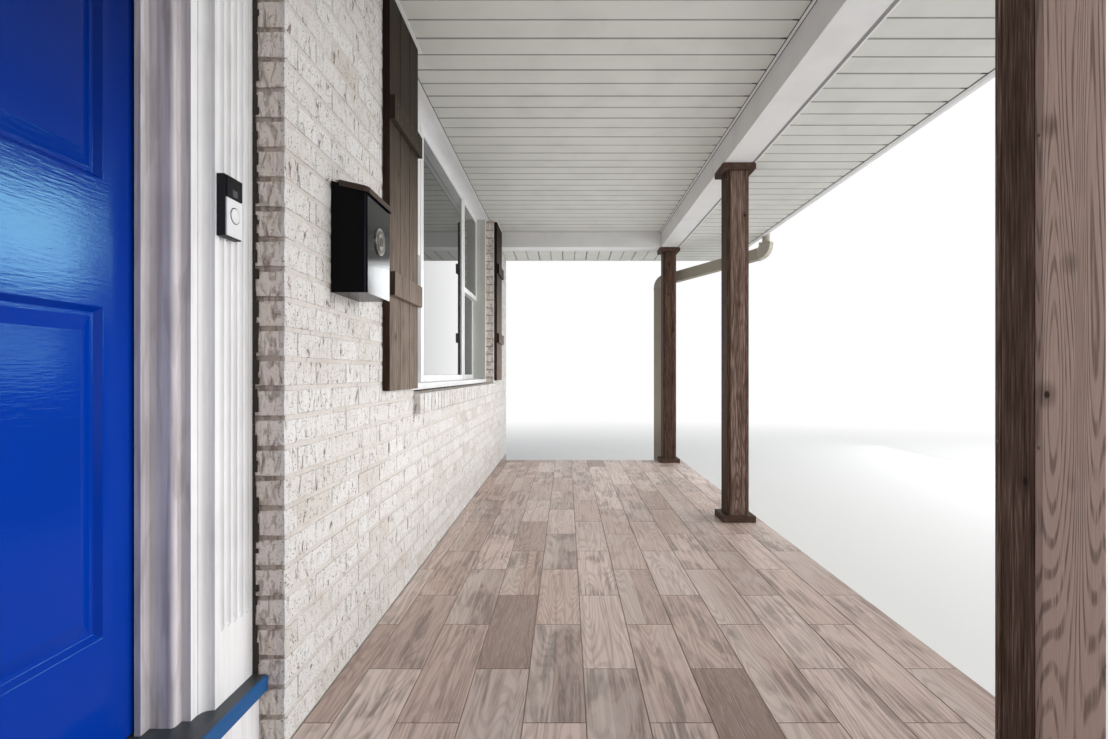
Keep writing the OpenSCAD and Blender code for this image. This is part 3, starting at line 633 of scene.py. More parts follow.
def block(name: str, low: Sequence[float], high: Sequence[float]) -> bpy.types.Object:
    """Adds a cube between two corners, to be shaped further.

    Args:
        name: the object's name.
        low: its lowest corner.
        high: its highest corner.

    Returns:
        The object, with its place in its mesh.
    """
    bpy.ops.object.select_all(action="DESELECT")
    low, high = Vector(low), Vector(high)
    bpy.ops.mesh.primitive_cube_add(size=1, location=(low + high) / 2)
    obj = bpy.context.object
    obj.name = name
    obj.scale = high - low
    bpy.ops.object.transform_apply(location=True, rotation=True, scale=True)
    return obj


def centred(name: str, size: Sequence[float]) -> bpy.types.Object:
    """Adds a block of that size with its middle at the origin."""
    half = Vector(size) / 2
    return block(name, -half, half)


def drum(name: str, foot: Sequence[float], axis: Axis, radius: float, height: float,
         sides: int) -> bpy.types.Object:
    """Adds a cylinder that stands on a point, along an axis or against it, to be shaped further.

    Args:
        name: the object's name.
        foot: the middle of its foot.
        axis: the axis that it follows.
        radius: its radius.
        height: its height, negative against the axis.
        sides: its number of sides.

    Returns:
        The object, with its place in its mesh.
    """
    bpy.ops.object.select_all(action="DESELECT")
    turn = {Axis.X: (0, math.pi / 2, 0), Axis.Y: (math.pi / 2, 0, 0), Axis.Z: (0, 0, 0)}[axis]
    centre = Vector(foot)
    centre[axis.value] += height / 2
    bpy.ops.mesh.primitive_cylinder_add(vertices=sides, radius=radius, depth=abs(height),
                                        location=centre, rotation=turn)
    obj = bpy.context.object
    obj.name = name
    bpy.ops.object.transform_apply(location=True, rotation=True, scale=True)
    return obj


def modify(obj: bpy.types.Object, kind: str, **settings: object) -> bpy.types.Object:
    """Adds a modifier with these settings, applies it and returns the object."""
    pick(obj)
    modifier = obj.modifiers.new(kind.lower(), kind)
    for key, value in settings.items():
        setattr(modifier, key, value)
    bpy.ops.object.modifier_apply(modifier=modifier.name)
    return obj


def eased(obj: bpy.types.Object, width: float, segments: int = 2) -> bpy.types.Object:
    """Rounds the edges of an object that turn by more than EASE_FROM, and returns the object."""
    return modify(obj, "BEVEL", width=width, segments=segments, limit_method="ANGLE",
                  angle_limit=EASE_FROM, harden_normals=True)


@contextmanager
def editing(obj: bpy.types.Object, part: Part = Part.FACE,
            chosen: Sequence[bool] | None = None) -> Iterator[None]:
    """Holds an object in edit mode for the length of a block.

    Args:
        obj: the object.
        part: whether edges or faces are chosen.
        chosen: whether each of them is selected, or None for the whole mesh.

    Yields:
        Nothing, once the mode is on.
    """
    pick(obj)
    bpy.ops.object.mode_set(mode="EDIT")
    if chosen is None:
        bpy.ops.mesh.select_all(action="SELECT")
    else:
        bpy.ops.mesh.select_mode(type=part.name)
        bpy.ops.mesh.select_all(action="DESELECT")
        bpy.ops.object.mode_set(mode="OBJECT")
        for element, picked in zip(getattr(obj.data, part.value), chosen):
            element.select = picked
        bpy.ops.object.mode_set(mode="EDIT")
    yield
    bpy.ops.object.mode_set(mode="OBJECT")


def edges_where(obj: bpy.types.Object, test: Callable[[Vector, Vector], bool]) -> list[bool]:
    """Whether the two ends of each edge pass a test."""
    points = obj.data.vertices
    return [test(*(points[i].co for i in edge.vertices)) for edge in obj.data.edges]


def bevel_edges(obj: bpy.types.Object, test: Callable[[Vector, Vector], bool], width: float,
                segments: int) -> bpy.types.Object:
    """Bevels the edges whose two ends pass a test and returns the object."""
    with editing(obj, Part.EDGE, edges_where(obj, test)):
        bpy.ops.mesh.bevel(offset=width, segments=segments, affect="EDGES")
    return obj


def cut_away(obj: bpy.types.Object, point: Sequence[float], outward: Sequence[float]) -> None:
    """Cuts off and closes what lies beyond a plane.

    Args:
        obj: the object.
        point: a point of the plane.
        outward: the plane's normal, on the side that goes.
    """
    with editing(obj):
        bpy.ops.mesh.bisect(plane_co=point, plane_no=outward, use_fill=True, clear_outer=True)


def dished(name: str, foot: Sequence[float], radius: float, height: float, rim: float,
           sink: float) -> bpy.types.Object:
    """Models a disc that faces the street, with a raised rim round a sunk middle.

    Args:
        name: the object's name.
        foot: the middle of its back.
        radius: its radius.
        height: how far it stands out.
        rim: the width of the rim.
        sink: how far the middle is sunk.

    Returns:
        The disc.
    """
    disc = drum(name, foot, Axis.Y, radius, -height, DISC_SIDES)
    with editing(disc, Part.FACE, [face.normal.y < -TURNED for face in disc.data.polygons]):
        bpy.ops.mesh.inset(thickness=rim)
        bpy.ops.mesh.inset(thickness=sink * DISC_SLOPE, depth=-sink)
    return eased(disc, min(rim, sink) * DISC_ARRIS, 1)


def joined(name: str, parts: Sequence[bpy.types.Object]) -> bpy.types.Object:
    """Joins objects into one and names it."""
    pick(*parts)
    if len(parts) > 1:
        bpy.ops.object.join()
    obj = bpy.context.object
    obj.name = obj.data.name = name
    return obj


def set_attribute(obj: bpy.types.Object, name: str, values: Sequence[float] | float) -> None:
    """Gives each point of a mesh a value, under a name that a finish reads."""
    mesh = obj.data
    count = len(mesh.vertices)
    carried = mesh.attributes.get(name) or mesh.attributes.new(name, "FLOAT", "POINT")
    carried.data.foreach_set("value", np.broadcast_to(np.asarray(values, float), (count,)).copy())


def copy_of(obj: bpy.types.Object, place: Matrix, name: str = "copy") -> bpy.types.Object:
    """A copy of an object with a mesh of its own, moved in the mesh."""
    made = bpy.data.objects.new(name, obj.data.copy())
    made.data.transform(place)
    bpy.context.scene.collection.objects.link(made)
    return made


def scattered(name: str, masters: Sequence[bpy.types.Object], places: Sequence[Matrix],
              seed: int) -> bpy.types.Object:
    """Copies modelled pieces to many places and joins the copies into one object.

    Args:
        name: the object's name.
        masters: the pieces, one of which is drawn for each place.
        places: where the copies go.
        seed: the seed of the draw and of each copy's tone.

    Returns:
        The object, whose points carry the tone of their copy.
    """
    draw = random.Random(seed)
    copies = []
    for place in places:
        made = copy_of(draw.choice(masters), place)
        set_attribute(made, "tone", draw.random())
        copies.append(made)
    return joined(name, copies)


def discard(*objs: bpy.types.Object) -> None:
    """Removes pieces that were only there to be copied."""
    for obj in objs:
        bpy.data.objects.remove(obj, do_unlink=True)


def place_at(low: Sequence[float], high: Sequence[float], size: Sequence[float]) -> Matrix:
    """The matrix that fits a piece of a size, centred on the origin, between two corners."""
    low, high = Vector(low), Vector(high)
    fit = [(high[i] - low[i]) / size[i] for i in range(3)]
    return Matrix.Translation((low + high) / 2) @ Matrix.Diagonal((*fit, 1))


def node_copy(node: str, name: str) -> bpy.types.Object:
    """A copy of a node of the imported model, merged into whole faces.

    Args:
        node: the node.
        name: the copy's name.

    Returns:
        The copy, which stands for the node.
    """
    made = bpy.data.objects.new(name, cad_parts[node].data.copy())
    made.data.materials.clear()
    bpy.context.scene.collection.objects.link(made)
    with editing(made):
        bpy.ops.mesh.customdata_custom_splitnormals_clear()
        bpy.ops.mesh.remove_doubles(threshold=MERGE_WITHIN)
        bpy.ops.mesh.dissolve_limited(angle_limit=FLAT_WITHIN)
    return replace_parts(made, node)


def shown(obj: bpy.types.Object, finish: Finish, body: str = "root") -> bpy.types.Object:
    """Gives a finished piece its finish and body, and reports it.

    Args:
        obj: the piece.
        finish: its finish.
        body: the body that it moves with.

    Returns:
        The piece.
    """
    if obj.data.attributes.get("tone") is None:
        set_attribute(obj, "tone", random.Random(obj.name).random())
    obj.data.materials.clear()
    obj.data.materials.append(finish.material())
    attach(obj, body)
    log.info("%s: %d faces in %s", obj.name, len(obj.data.polygons), finish.name)
    return obj


def repaint(obj: bpy.types.Object, finish: Finish, test: Callable[[bpy.types.MeshPolygon], bool]) -> None:
    """Gives the faces of a piece that pass a test another finish."""
    obj.data.materials.append(finish.material())
    for face in obj.data.polygons:
        if test(face):
            face.material_index = len(obj.data.materials) - 1


def dressed(node: str, finish: Finish) -> None:
    """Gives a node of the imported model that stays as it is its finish."""
    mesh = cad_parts[node].data
    for i in range(len(mesh.materials)):
        mesh.materials[i] = finish.material()
    log.info("%s: kept, in %s", node, finish.name)


def softened(node: str, finish: Finish, width: float, segments: int = 2,
             body: str = "root") -> bpy.types.Object:
    """Stands a copy with eased edges in for a node and returns it."""
    return shown(eased(node_copy(node, node + "_eased"), width, segments), finish, body)


# Sub-assemblies

def area_lamp(name: str, place: Point, turn: Euler, size: tuple[float, float],
              power: float) -> bpy.types.Object:
    """Hangs a rectangular lamp that the camera doesn't see.

    Args:
        name: its name.
        place: its middle.
        turn: its turn.
        size: its width and height.
        power: its power in watts.

    Returns:
        The lamp.
    """
    data = bpy.data.lights.new(name, "AREA")
    data.shape = "RECTANGLE"
    data.size, data.size_y = size
    data.energy = power
    made = bpy.data.objects.new(name, data)
    made.location = place
    made.rotation_euler = turn
    made.visible_camera = False
    bpy.context.scene.collection.objects.link(made)
    return made


def link_light(lamp: bpy.types.Object, pieces: Sequence[bpy.types.Object], reach: Reach) -> None:
    """Lets a lamp light only these pieces, or all but these."""
    receivers = bpy.data.collections.new(lamp.name + "_receivers")
    for piece in pieces:
        receivers.objects.link(piece)
    for entry in receivers.collection_objects:
        entry.light_linking.link_state = reach.value
    lamp.light_linking.receiver_collection = receivers


@dataclass(frozen=True)
class Lamp:
    """A soft lamp: where it hangs, the point that it faces, its width and height, and its watts."""

    name: str
    place: Point
    aim: Point
    size: tuple[float, float]
    power: float

    def hang(self) -> bpy.types.Object:
        """Hangs the lamp, which gloss doesn't show."""
        turn = (Vector(self.aim) - Vector(self.place)).to_track_quat("-Z", "Y").to_euler()
        made = area_lamp(self.name, self.place, turn, self.size, self.power)
        made.visible_glossy = False
        return made


@dataclass(frozen=True)
class Sheen:
    """An upright lamp that only reflections see, as they see the open sky between trees.

    Its heading is in degrees: at 0 it faces the wall, at 90 the left end. A glow of 1 is white.
    """

    name: str
    place: Point
    heading: float
    size: tuple[float, float]
    glow: float
    colour: Colour = (1, 1, 1)

    def hang(self) -> bpy.types.Object:
        """Hangs the lamp."""
        width, height = self.size
        turn = Euler((math.radians(90), 0, math.radians(self.heading)))
        made = area_lamp(self.name, self.place, turn, self.size, self.glow * math.pi * width * height)
        made.data.color = self.colour
        made.visible_diffuse = made.visible_transmission = False
        return made


SKY_BLUE = (0.40, 0.92, 1.0)


@dataclass
class Studio:
    """The camera, the lamps and the pale floor round the porch."""

    eye: Point = (-2.439, 0.509, 1.057)
    lens: float = 18.84
    sensor: float = 36.0
    clip_start: float = 0.01
    photo_width: int = 1108
    photo_height: int = 739
    vanish_x: float = 566.5
    vanish_y: float = 373.5
    sky: float = 0.42
    sky_colour: Colour = (0.93, 0.96, 1.0)
    floor_size: float = 90.0
    floor_t: float = 0.05
    floor_colour: Colour = (0.8, 0.8, 0.79)
    fade_from: float = 4.5
    fade_to: float = 11.0
    cards: tuple[tuple[str, Point, Point], ...] = (
        ("dark_card_upright", (-6.0, -6.3, 0.0), (9.5, -6.28, 4.6)),
        ("dark_card_flat", (-6.0, -6.28, 0.002), (16.0, -0.8, 0.004)))
    lamps: tuple[Lamp, ...] = (
        Lamp("street_side", (0.5, -7.5, 3.6), (0.3, 0.4, 1.0), (11.0, 4.0), 740),
        Lamp("lawn_side", (1.0, -4.2, 0.25), (1.0, 0.4, 2.5), (10.0, 2.5), 120),
        Lamp("far_end", (8.5, -1.0, 2.6), (2.0, 0.5, 0.8), (3.0, 2.5), 15),
        Lamp("porch_fill", (1.6, 0.35, 0.3), (1.6, 0.35, 3.0), (5.0, 0.9), 17),
        Lamp("near_side", (-6.5, -3.0, 1.6), (-1.0, -0.3, 1.3), (2.5, 2.5), 46))
    far_sheen: Sheen = Sheen("far_sheen", (16.0, -3.0, 3.4), 90.0, (8.0, 5.0), 1.3)
    door_sheens: tuple[Sheen, ...] = (
        Sheen("door_sheen", (5.75, -6.0, 3.6), 0.0, (3.3, 2.3), 24.0, SKY_BLUE),
        Sheen("field_sheen", (5.5, -6.0, 1.45), 0.0, (3.0, 1.0), 6.0, SKY_BLUE),
        Sheen("slope_sheen", (1.8, -6.0, 2.6), 0.0, (5.0, 2.4), 9.0, SKY_BLUE))
    mail_sheen: Sheen = Sheen("mail_sheen", (16.2, -4.25, 3.4), 90.0, (0.6, 2.2), 5.5, (0.93, 0.97, 1.0))
    eave_lamp: Lamp = Lamp("eave_side", (0.5, -7.5, 3.6), (0.3, 0.4, 1.0), (11.0, 4.0), 130)
    strong_lamps: tuple[str, ...] = ("street_side", "lawn_side")
    eaves: tuple[str, ...] = ("gutter", "gutter_lip", "gutter_hangers", "front_fascia_eased",
                              "end_fascias_eased")

    def place_camera(self) -> None:
        """Places the camera on the porch, looking along it."""
        data = bpy.data.cameras.new("camera")
        data.lens = self.lens
        data.sensor_width = self.sensor
        data.shift_x = (self.photo_width / 2 - self.vanish_x) / self.photo_width
        data.shift_y = (self.vanish_y - self.photo_height / 2) / self.photo_width
        data.clip_start = self.clip_start
        camera = bpy.data.objects.new("camera", data)
        camera.location = self.eye
        camera.rotation_euler = Euler((math.radians(90), 0, math.radians(-90)))
        bpy.context.scene.collection.objects.link(camera)
        bpy.context.scene.camera = camera

    def light_sky(self) -> None:
        """Lights the porch from all round, with a white background for the camera and gloss."""
        world = bpy.data.worlds.new("sky")
        bpy.context.scene.world = world
        world.use_nodes = True
        nodes = world.node_tree.nodes
        path, plain = nodes.new("ShaderNodeLightPath"), nodes["Background"]
        white, seen = nodes.new("ShaderNodeBackground"), nodes.new("ShaderNodeMath")
        mix = nodes.new("ShaderNodeMixShader")
        for background, colour, strength in ((plain, self.sky_colour, self.sky), (white, (1, 1, 1), 1.0)):
            background.inputs["Color"].default_value = (*colour, 1)
            background.inputs["Strength"].default_value = strength
        seen.operation = "MAXIMUM"
        for source, target in ((path.outputs["Is Camera Ray"], seen.inputs[0]),
                               (path.outputs["Is Glossy Ray"], seen.inputs[1]),
                               (seen.outputs[0], mix.inputs[0]), (plain.outputs[0], mix.inputs[1]),
                               (white.outputs[0], mix.inputs[2]),
                               (mix.outputs[0], nodes["World Output"].inputs["Surface"])):
            world.node_tree.links.new(source, target)

    def lay_floor(self) -> None:
        """Lays the pale floor that the porch stands on, which fades into the white background."""
        half = self.floor_size / 2
        floor = block("studio_floor", (-half, -half, -self.floor_t), (half, half, 0.0))
        tree = Tree("studio_floor")
        where = tree.node("ShaderNodeTexCoord").outputs["Object"]
        reach = Value(tree, tree.node("ShaderNodeVectorMath", {"operation": "LENGTH"}, {0: where}).outputs[1])
        far = reach.above((self.fade_from + self.fade_to) / 2, self.fade_to - self.fade_from)
        seen = Value(tree, tree.node("ShaderNodeLightPath").outputs["Is Diffuse Ray"])
        black, white = (0.0, 0.0, 0.0), (1.0, 1.0, 1.0)
        material = tree.surface(Base_Color=tree.mix(far, self.floor_colour, black), Roughness=0.9,
                                Specular_IOR_Level=0.0, Emission_Strength=1.0,
                                Emission_Color=tree.mix(far * (1 - seen * 0.5), black, white))
        floor.data.materials.append(material)

    def hang_cards(self) -> None:
        """Sets two dark cards on the street side, which only reflections see, so that gloss has depth."""
        for name, low, high in self.cards:
            card = block(name, low, high)
            card.data.materials.append(DARK_CARD.material())
            card.visible_camera = card.visible_diffuse = False
            card.visible_shadow = card.visible_transmission = False

    def build(self) -> None:
        """Builds the studio."""
        self.place_camera()
        self.light_sky()
        self.lay_floor()
        self.hang_cards()
        for lamp in (*self.lamps, self.far_sheen):
            lamp.hang()
        bpy.context.scene.view_settings.view_transform = "Standard"

    def shine(self) -> None:
        """Lets the gloss of the door and the mailbox show the sky over the street, as soft patches."""
        leaf, mailbox = bpy.data.objects["door_leaf_eased"], bpy.data.objects["mailbox_body_eased"]
        for sheen, piece in (*((sheen, leaf) for sheen in self.door_sheens), (self.mail_sheen, mailbox)):
            link_light(sheen.hang(), [piece], Reach.ONLY)

    def ease_eaves(self) -> None:
        """Keeps the lamps that reach under the roof off the white eaves, and lights these mildly."""
        pieces = [bpy.data.objects[name] for name in self.eaves]
        for name in self.strong_lamps:
            link_light(bpy.data.objects[name], pieces, Reach.ALL_BUT)
        link_light(self.eave_lamp.hang(), pieces, Reach.ONLY)


@dataclass
class BrickWork:
    """The brick facing in running bond and the rowlock sill under the window."""

    course: float = 0.0724
    length: float = 0.215
    joint: float = 0.010
    head_joint: float = 0.004
    joint_depth: float = 0.0034
    return_depth: float = 0.008
    arris: float = 0.0018
    jitter: float = 0.0012
    kinds: int = 6
    shortest: float = 0.055
    panels: tuple[str, ...] = ("brick_left", "brick_pier", "brick_apron", "brick_right")
    low_panel: str = "brick_apron"
    bed_arris: float = 0.002
    sill_inset: Point = (0.004, 0.006, 0.004)
    sill_kinds_from: int = 11
    sill_seed: int = 5

    def rough_brick(self, size: Sequence[float], seed: int) -> bpy.types.Object:
        """Models one rough brick, centred on the origin.

        Args:
            size: its length, depth and height.
            seed: the seed of its roughness.

        Returns:
            The brick.
        """
        half = Vector(size) / 2 - Vector((self.jitter, self.jitter, self.jitter))
        brick = block("brick_master", -half, half)
        with editing(brick):
            bpy.ops.mesh.subdivide(number_cuts=1)
            bpy.ops.transform.vertex_random(offset=self.jitter, uniform=1.0, normal=0.0, seed=seed)
        return eased(brick, self.arris, 1)

    def joints_between(self, low: float, high: float, start: float) -> list[float]:
        """The joints of a course between two ends, without those that leave too short a brick."""
        numbers = range(math.ceil((low - start) / self.length), math.floor((high - start) / self.length) + 1)
        joints = (start + k * self.length for k in numbers)
        return [low, *(x for x in joints if low + self.shortest < x < high - self.shortest), high]

    def toothed(self, end: float, start: float, head: float) -> float:
        """Where a course ends: at the panel's end, or at the bond's next joint under the window.

        Args:
            end: the panel's end.
            start: a joint of the course.
            head: the top of the course.

        Returns:
            The end of the course.
        """
        low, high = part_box(self.low_panel)
        if head > high.z or min(abs(end - low.x), abs(end - high.x)) > self.head_joint:
            return end
        return start + round((end - start) / self.length) * self.length

    def lay(self, node: str, masters: Sequence[bpy.types.Object], size: Sequence[float]) -> None:
        """Lays the bricks and mortar that stand for one panel of the wall.

        Args:
            node: the panel.
            masters: the modelled bricks.
            size: their size.
        """
        low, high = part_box(node)
        inset = -self.return_depth if node == self.low_panel else self.return_depth
        bed = eased(block(node + "_mortar", low + Vector((inset, self.joint_depth, 0)),
                          high - Vector((inset, 0, 0))), self.bed_arris, 1)
        places = []
        for row in range(math.ceil((high.z - low.z) / self.course)):
            foot = low.z + row * self.course + self.joint / 2
            head = foot + self.course - self.joint
            start = (row % 2) * self.length / 2
            joints = self.joints_between(self.toothed(low.x, start, head), self.toothed(high.x, start, head),
                                         start)
            for left, right in zip(joints, joints[1:]):
                left += 0 if left == low.x else self.head_joint / 2
                right -= 0 if right == high.x else self.head_joint / 2
                places.append(place_at((left, low.y, foot), (right, high.y, min(head, high.z)), size))
        bricks = scattered(node + "_bricks", masters, places, seed=len(places))
        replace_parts(bricks, node)
        shown(bricks, BRICK)
        shown(bed, MORTAR)

    def lay_sill(self) -> None:
        """Lays the bricks on edge under the window."""
        low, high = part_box("window_sill_bricks")
        count = round((high.x - low.x) / self.course)
        pitch = (high.x - low.x) / count
        size = (pitch - self.joint, high.y - low.y, high.z - low.z)
        masters = [self.rough_brick(size, self.sill_kinds_from + k) for k in range(self.kinds)]
        places = []
        for k in range(count):
            left = low.x + k * pitch + (0 if k == 0 else self.joint / 2)
            right = low.x + (k + 1) * pitch - (0 if k == count - 1 else self.joint / 2)
            places.append(place_at((left, low.y, low.z), (right, high.y, high.z), size))
        bricks = scattered("sill_bricks", masters, places, self.sill_seed)
        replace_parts(bricks, "window_sill_bricks")
        shown(bricks, BRICK)
        inset = Vector(self.sill_inset)
        bed = block("sill_mortar", low + inset, (high.x - inset.x, high.y, high.z - inset.z))
        shown(eased(bed, self.bed_arris, 1), MORTAR)
        discard(*masters)

    def build(self) -> None:
        """Builds the brickwork."""
        depth = high_of("brick_left").y - low_of("brick_left").y
        size = (self.length - self.head_joint, depth, self.course - self.joint)
        masters = [self.rough_brick(size, seed) for seed in range(self.kinds)]
        for node in self.panels:
            self.lay(node, masters, size)
        discard(*masters)
        self.lay_sill()


@dataclass
class FloorWork:
    """The slab and its plank tiles, laid along the porch."""

    row: float = 0.1644
    plank: float = 0.590
    grout: float = 0.003
    grout_depth: float = 0.0012
    first_joints: tuple[float, float] = (-0.66, -0.345)
    shortest: float = 0.02
    plank_arris: float = 0.0009
    bed_inset: float = 0.002
    bed_arris: float = 0.001
    slab_arris: float = 0.006
    seed: int = 8

    def build(self) -> None:
        """Builds the floor from its street edge to the wall."""
        low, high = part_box("floor_tiles")
        size = (self.plank - self.grout, self.row - self.grout, high.z - low.z)
        master = eased(centred("plank_master", size), self.plank_arris, 1)
        set_attribute(master, "across", [p.co.y / size[1] + 0.5 for p in master.data.vertices])
        places = []
        for row in range(math.ceil((high.y - low.y) / self.row)):
            y0 = low.y + row * self.row
            y1 = min(y0 + self.row - self.grout, high.y)
            start = self.first_joints[row % 2]
            first = math.floor((low.x - start) / self.plank)
            for k in range(first, math.ceil((high.x - start) / self.plank) + 1):
                x0 = max(start + k * self.plank, low.x)
                x1 = min(start + (k + 1) * self.plank - self.grout, high.x)
                if x1 - x0 > self.shortest:
                    places.append(place_at((x0, y0, low.z), (x1, y1, high.z), size))
        planks = scattered("plank_tiles", [master], places, self.seed)
        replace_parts(planks, "floor_tiles")
        shown(planks, PLANK_TILE)
        inset = Vector((self.bed_inset, self.bed_inset, 0))
        bed = block("grout_bed", low + inset, high - inset - Vector((0, 0, self.grout_depth)))
        shown(eased(bed, self.bed_arris, 1), GROUT)
        discard(master)
        for node in ("porch_slab", "foundation"):
            softened(node, CONCRETE, self.slab_arris)


@dataclass
class Posts:
    """The posts, boxed from cedar boards, with rings at head and foot.

    A kind of post is a row of painted lights: painted light and shade on its sides at -Y, +Y, -X and +X.
    """

    board: float = 0.019
    seam: float = 0.0012
    arris: float = 0.0022
    first_tone: float = 0.13
    tone_step: float = 0.21
    core_inset: Point = (0.006, 0.006, 0.001)
    core_arris: float = 0.001
    core_painted_shade: float = -2.0
    ring_h: float = 0.039
    ring_arris: float = 0.0015
    ring_tone: float = 0.2
    screw_r: float = 0.004
    screw_rise: float = 0.0012
    screw_arris: float = 0.0005
    screw_clear: float = 0.05
    screw_levels: tuple[float, ...] = (0.75, 1.4)
    screw_seed: int = 3
    posts: tuple[str, ...] = ("post_1", "post_2", "post_3", "post_4")
    kinds: tuple[int, ...] = (0, 1, 0, 2)
    turned: int = 1
    painted_lights: tuple[tuple[float, ...], ...] = ((0.3, -0.9, 0.3, 0.1), (0.2, 2.6, 0.2, -0.6),
                                               (0.3, -0.9, -0.6, 0.1))

    def box_post(self, low: Vector, high: Vector, bleach: Sequence[float]) -> bpy.types.Object:
        """Models the four boards of a post round a dark core, painted shade seen through the seams.

        Args:
            low: the post's lowest corner.
            high: its highest corner.
            bleach: its row of painted lights.

        Returns:
            The post.
        """
        sides = []
        for y0, y1 in ((low.y, low.y + self.board), (high.y - self.board, high.y)):
            sides.append(block("face_board", (low.x, y0, low.z), (high.x, y1, high.z)))
        inner = (low.y + self.board + self.seam, high.y - self.board - self.seam)
        for x0, x1 in ((low.x, low.x + self.board), (high.x - self.board, high.x)):
            sides.append(block("side_board", Vector((x0, inner[0], low.z)), Vector((x1, inner[1], high.z))))
        for k, board in enumerate(sides):
            eased(board, self.arris)
            set_attribute(board, "tone", self.first_tone + self.tone_step * k)
            set_attribute(board, "bleach", bleach[k])
        inset = Vector(self.core_inset)
        # the dark core stands for the shade inside the post: painted shade seen through the seams
        core = eased(block("post_core", low + inset, high - inset), self.core_arris, 1)
        set_attribute(core, "tone", 0.0)
        set_attribute(core, "bleach", self.core_painted_shade)
        return joined("post_master", [*sides, core])

    def ring(self, low: Vector, high: Vector, inner: float) -> bpy.types.Object:
        """Models a mitred ring between two corners round a square of that half width."""
        centre = (low + high) / 2
        reach = (high.x - low.x) / 2
        bars = []
        for k in range(4):
            bar = block("ring_bar", (-reach, -reach, low.z - centre.z), (reach, -inner, high.z - centre.z))
            for side in (1, -1):
                cut_away(bar, (side * reach, -reach, 0), (side, 1, 0))
            eased(bar, self.ring_arris, 1)
            set_attribute(bar, "tone", self.ring_tone * (k + 1))
            bar.data.transform(Matrix.Translation(centre) @ Matrix.Rotation(k * math.pi / 2, 4, "Z"))
            bars.append(bar)
        return joined("ring_master", bars)

    def build(self) -> None:
        """Builds the posts, rings and screws."""
        ring_low, ring_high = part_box("post_rings")
        first_low, first_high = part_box(self.posts[0])
        middle = (first_low + first_high) / 2
        quarter = (Matrix.Translation(middle) @ Matrix.Rotation(math.radians(90), 4, "Z")
                   @ Matrix.Translation(-middle))
        masters = [self.box_post(first_low, first_high, bleach) for bleach in self.painted_lights]
        masters[self.turned].data.transform(quarter)
        reach = first_low.x - ring_low.x
        corner = Vector((first_high.x + reach, first_high.y + reach, ring_low.z + self.ring_h))
        foot = self.ring(ring_low, corner, (first_high.x - first_low.x) / 2)
        rings = []
        for node, kind in zip(self.posts, self.kinds):
            away = Matrix.Translation(low_of(node) - first_low)
            post = copy_of(masters[kind], away, node + "_boards")
            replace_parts(post, node)
            shown(post, POST_CEDAR)
            for lift in (0.0, ring_high.z - ring_low.z - self.ring_h):
                rings.append(copy_of(foot, away @ Matrix.Translation((0, 0, lift))))
        every = joined("post_ring_bars", rings)
        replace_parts(every, "post_rings")
        shown(every, RING_CEDAR)
        self.drive_screws()
        discard(*masters, foot)

    def drive_screws(self) -> None:
        """Drives screws into the posts' boards beside the rings and between them."""
        screw = drum("screw_master", (0, 0, 0), Axis.Y, self.screw_r, -self.screw_rise, FEW_SIDES)
        eased(screw, self.screw_arris, 1)
        places = []
        for node in self.posts:
            low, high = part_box(node)
            levels = (low.z + self.ring_h + self.screw_clear, *(low.z + rise for rise in self.screw_levels),
                      high.z - self.ring_h - self.screw_clear)
            for level in levels:
                for side in (-1, 1):
                    x = (low.x + high.x) / 2 + side * ((high.x - low.x) / 2 - self.board / 2)
                    places.append(Matrix.Translation((x, low.y, level)))
                    places.append(Matrix.Translation((x, high.y + self.screw_rise, level)))
        shown(scattered("post_screws", [screw], places, self.screw_seed), SCREW_STEEL)
        discard(screw)


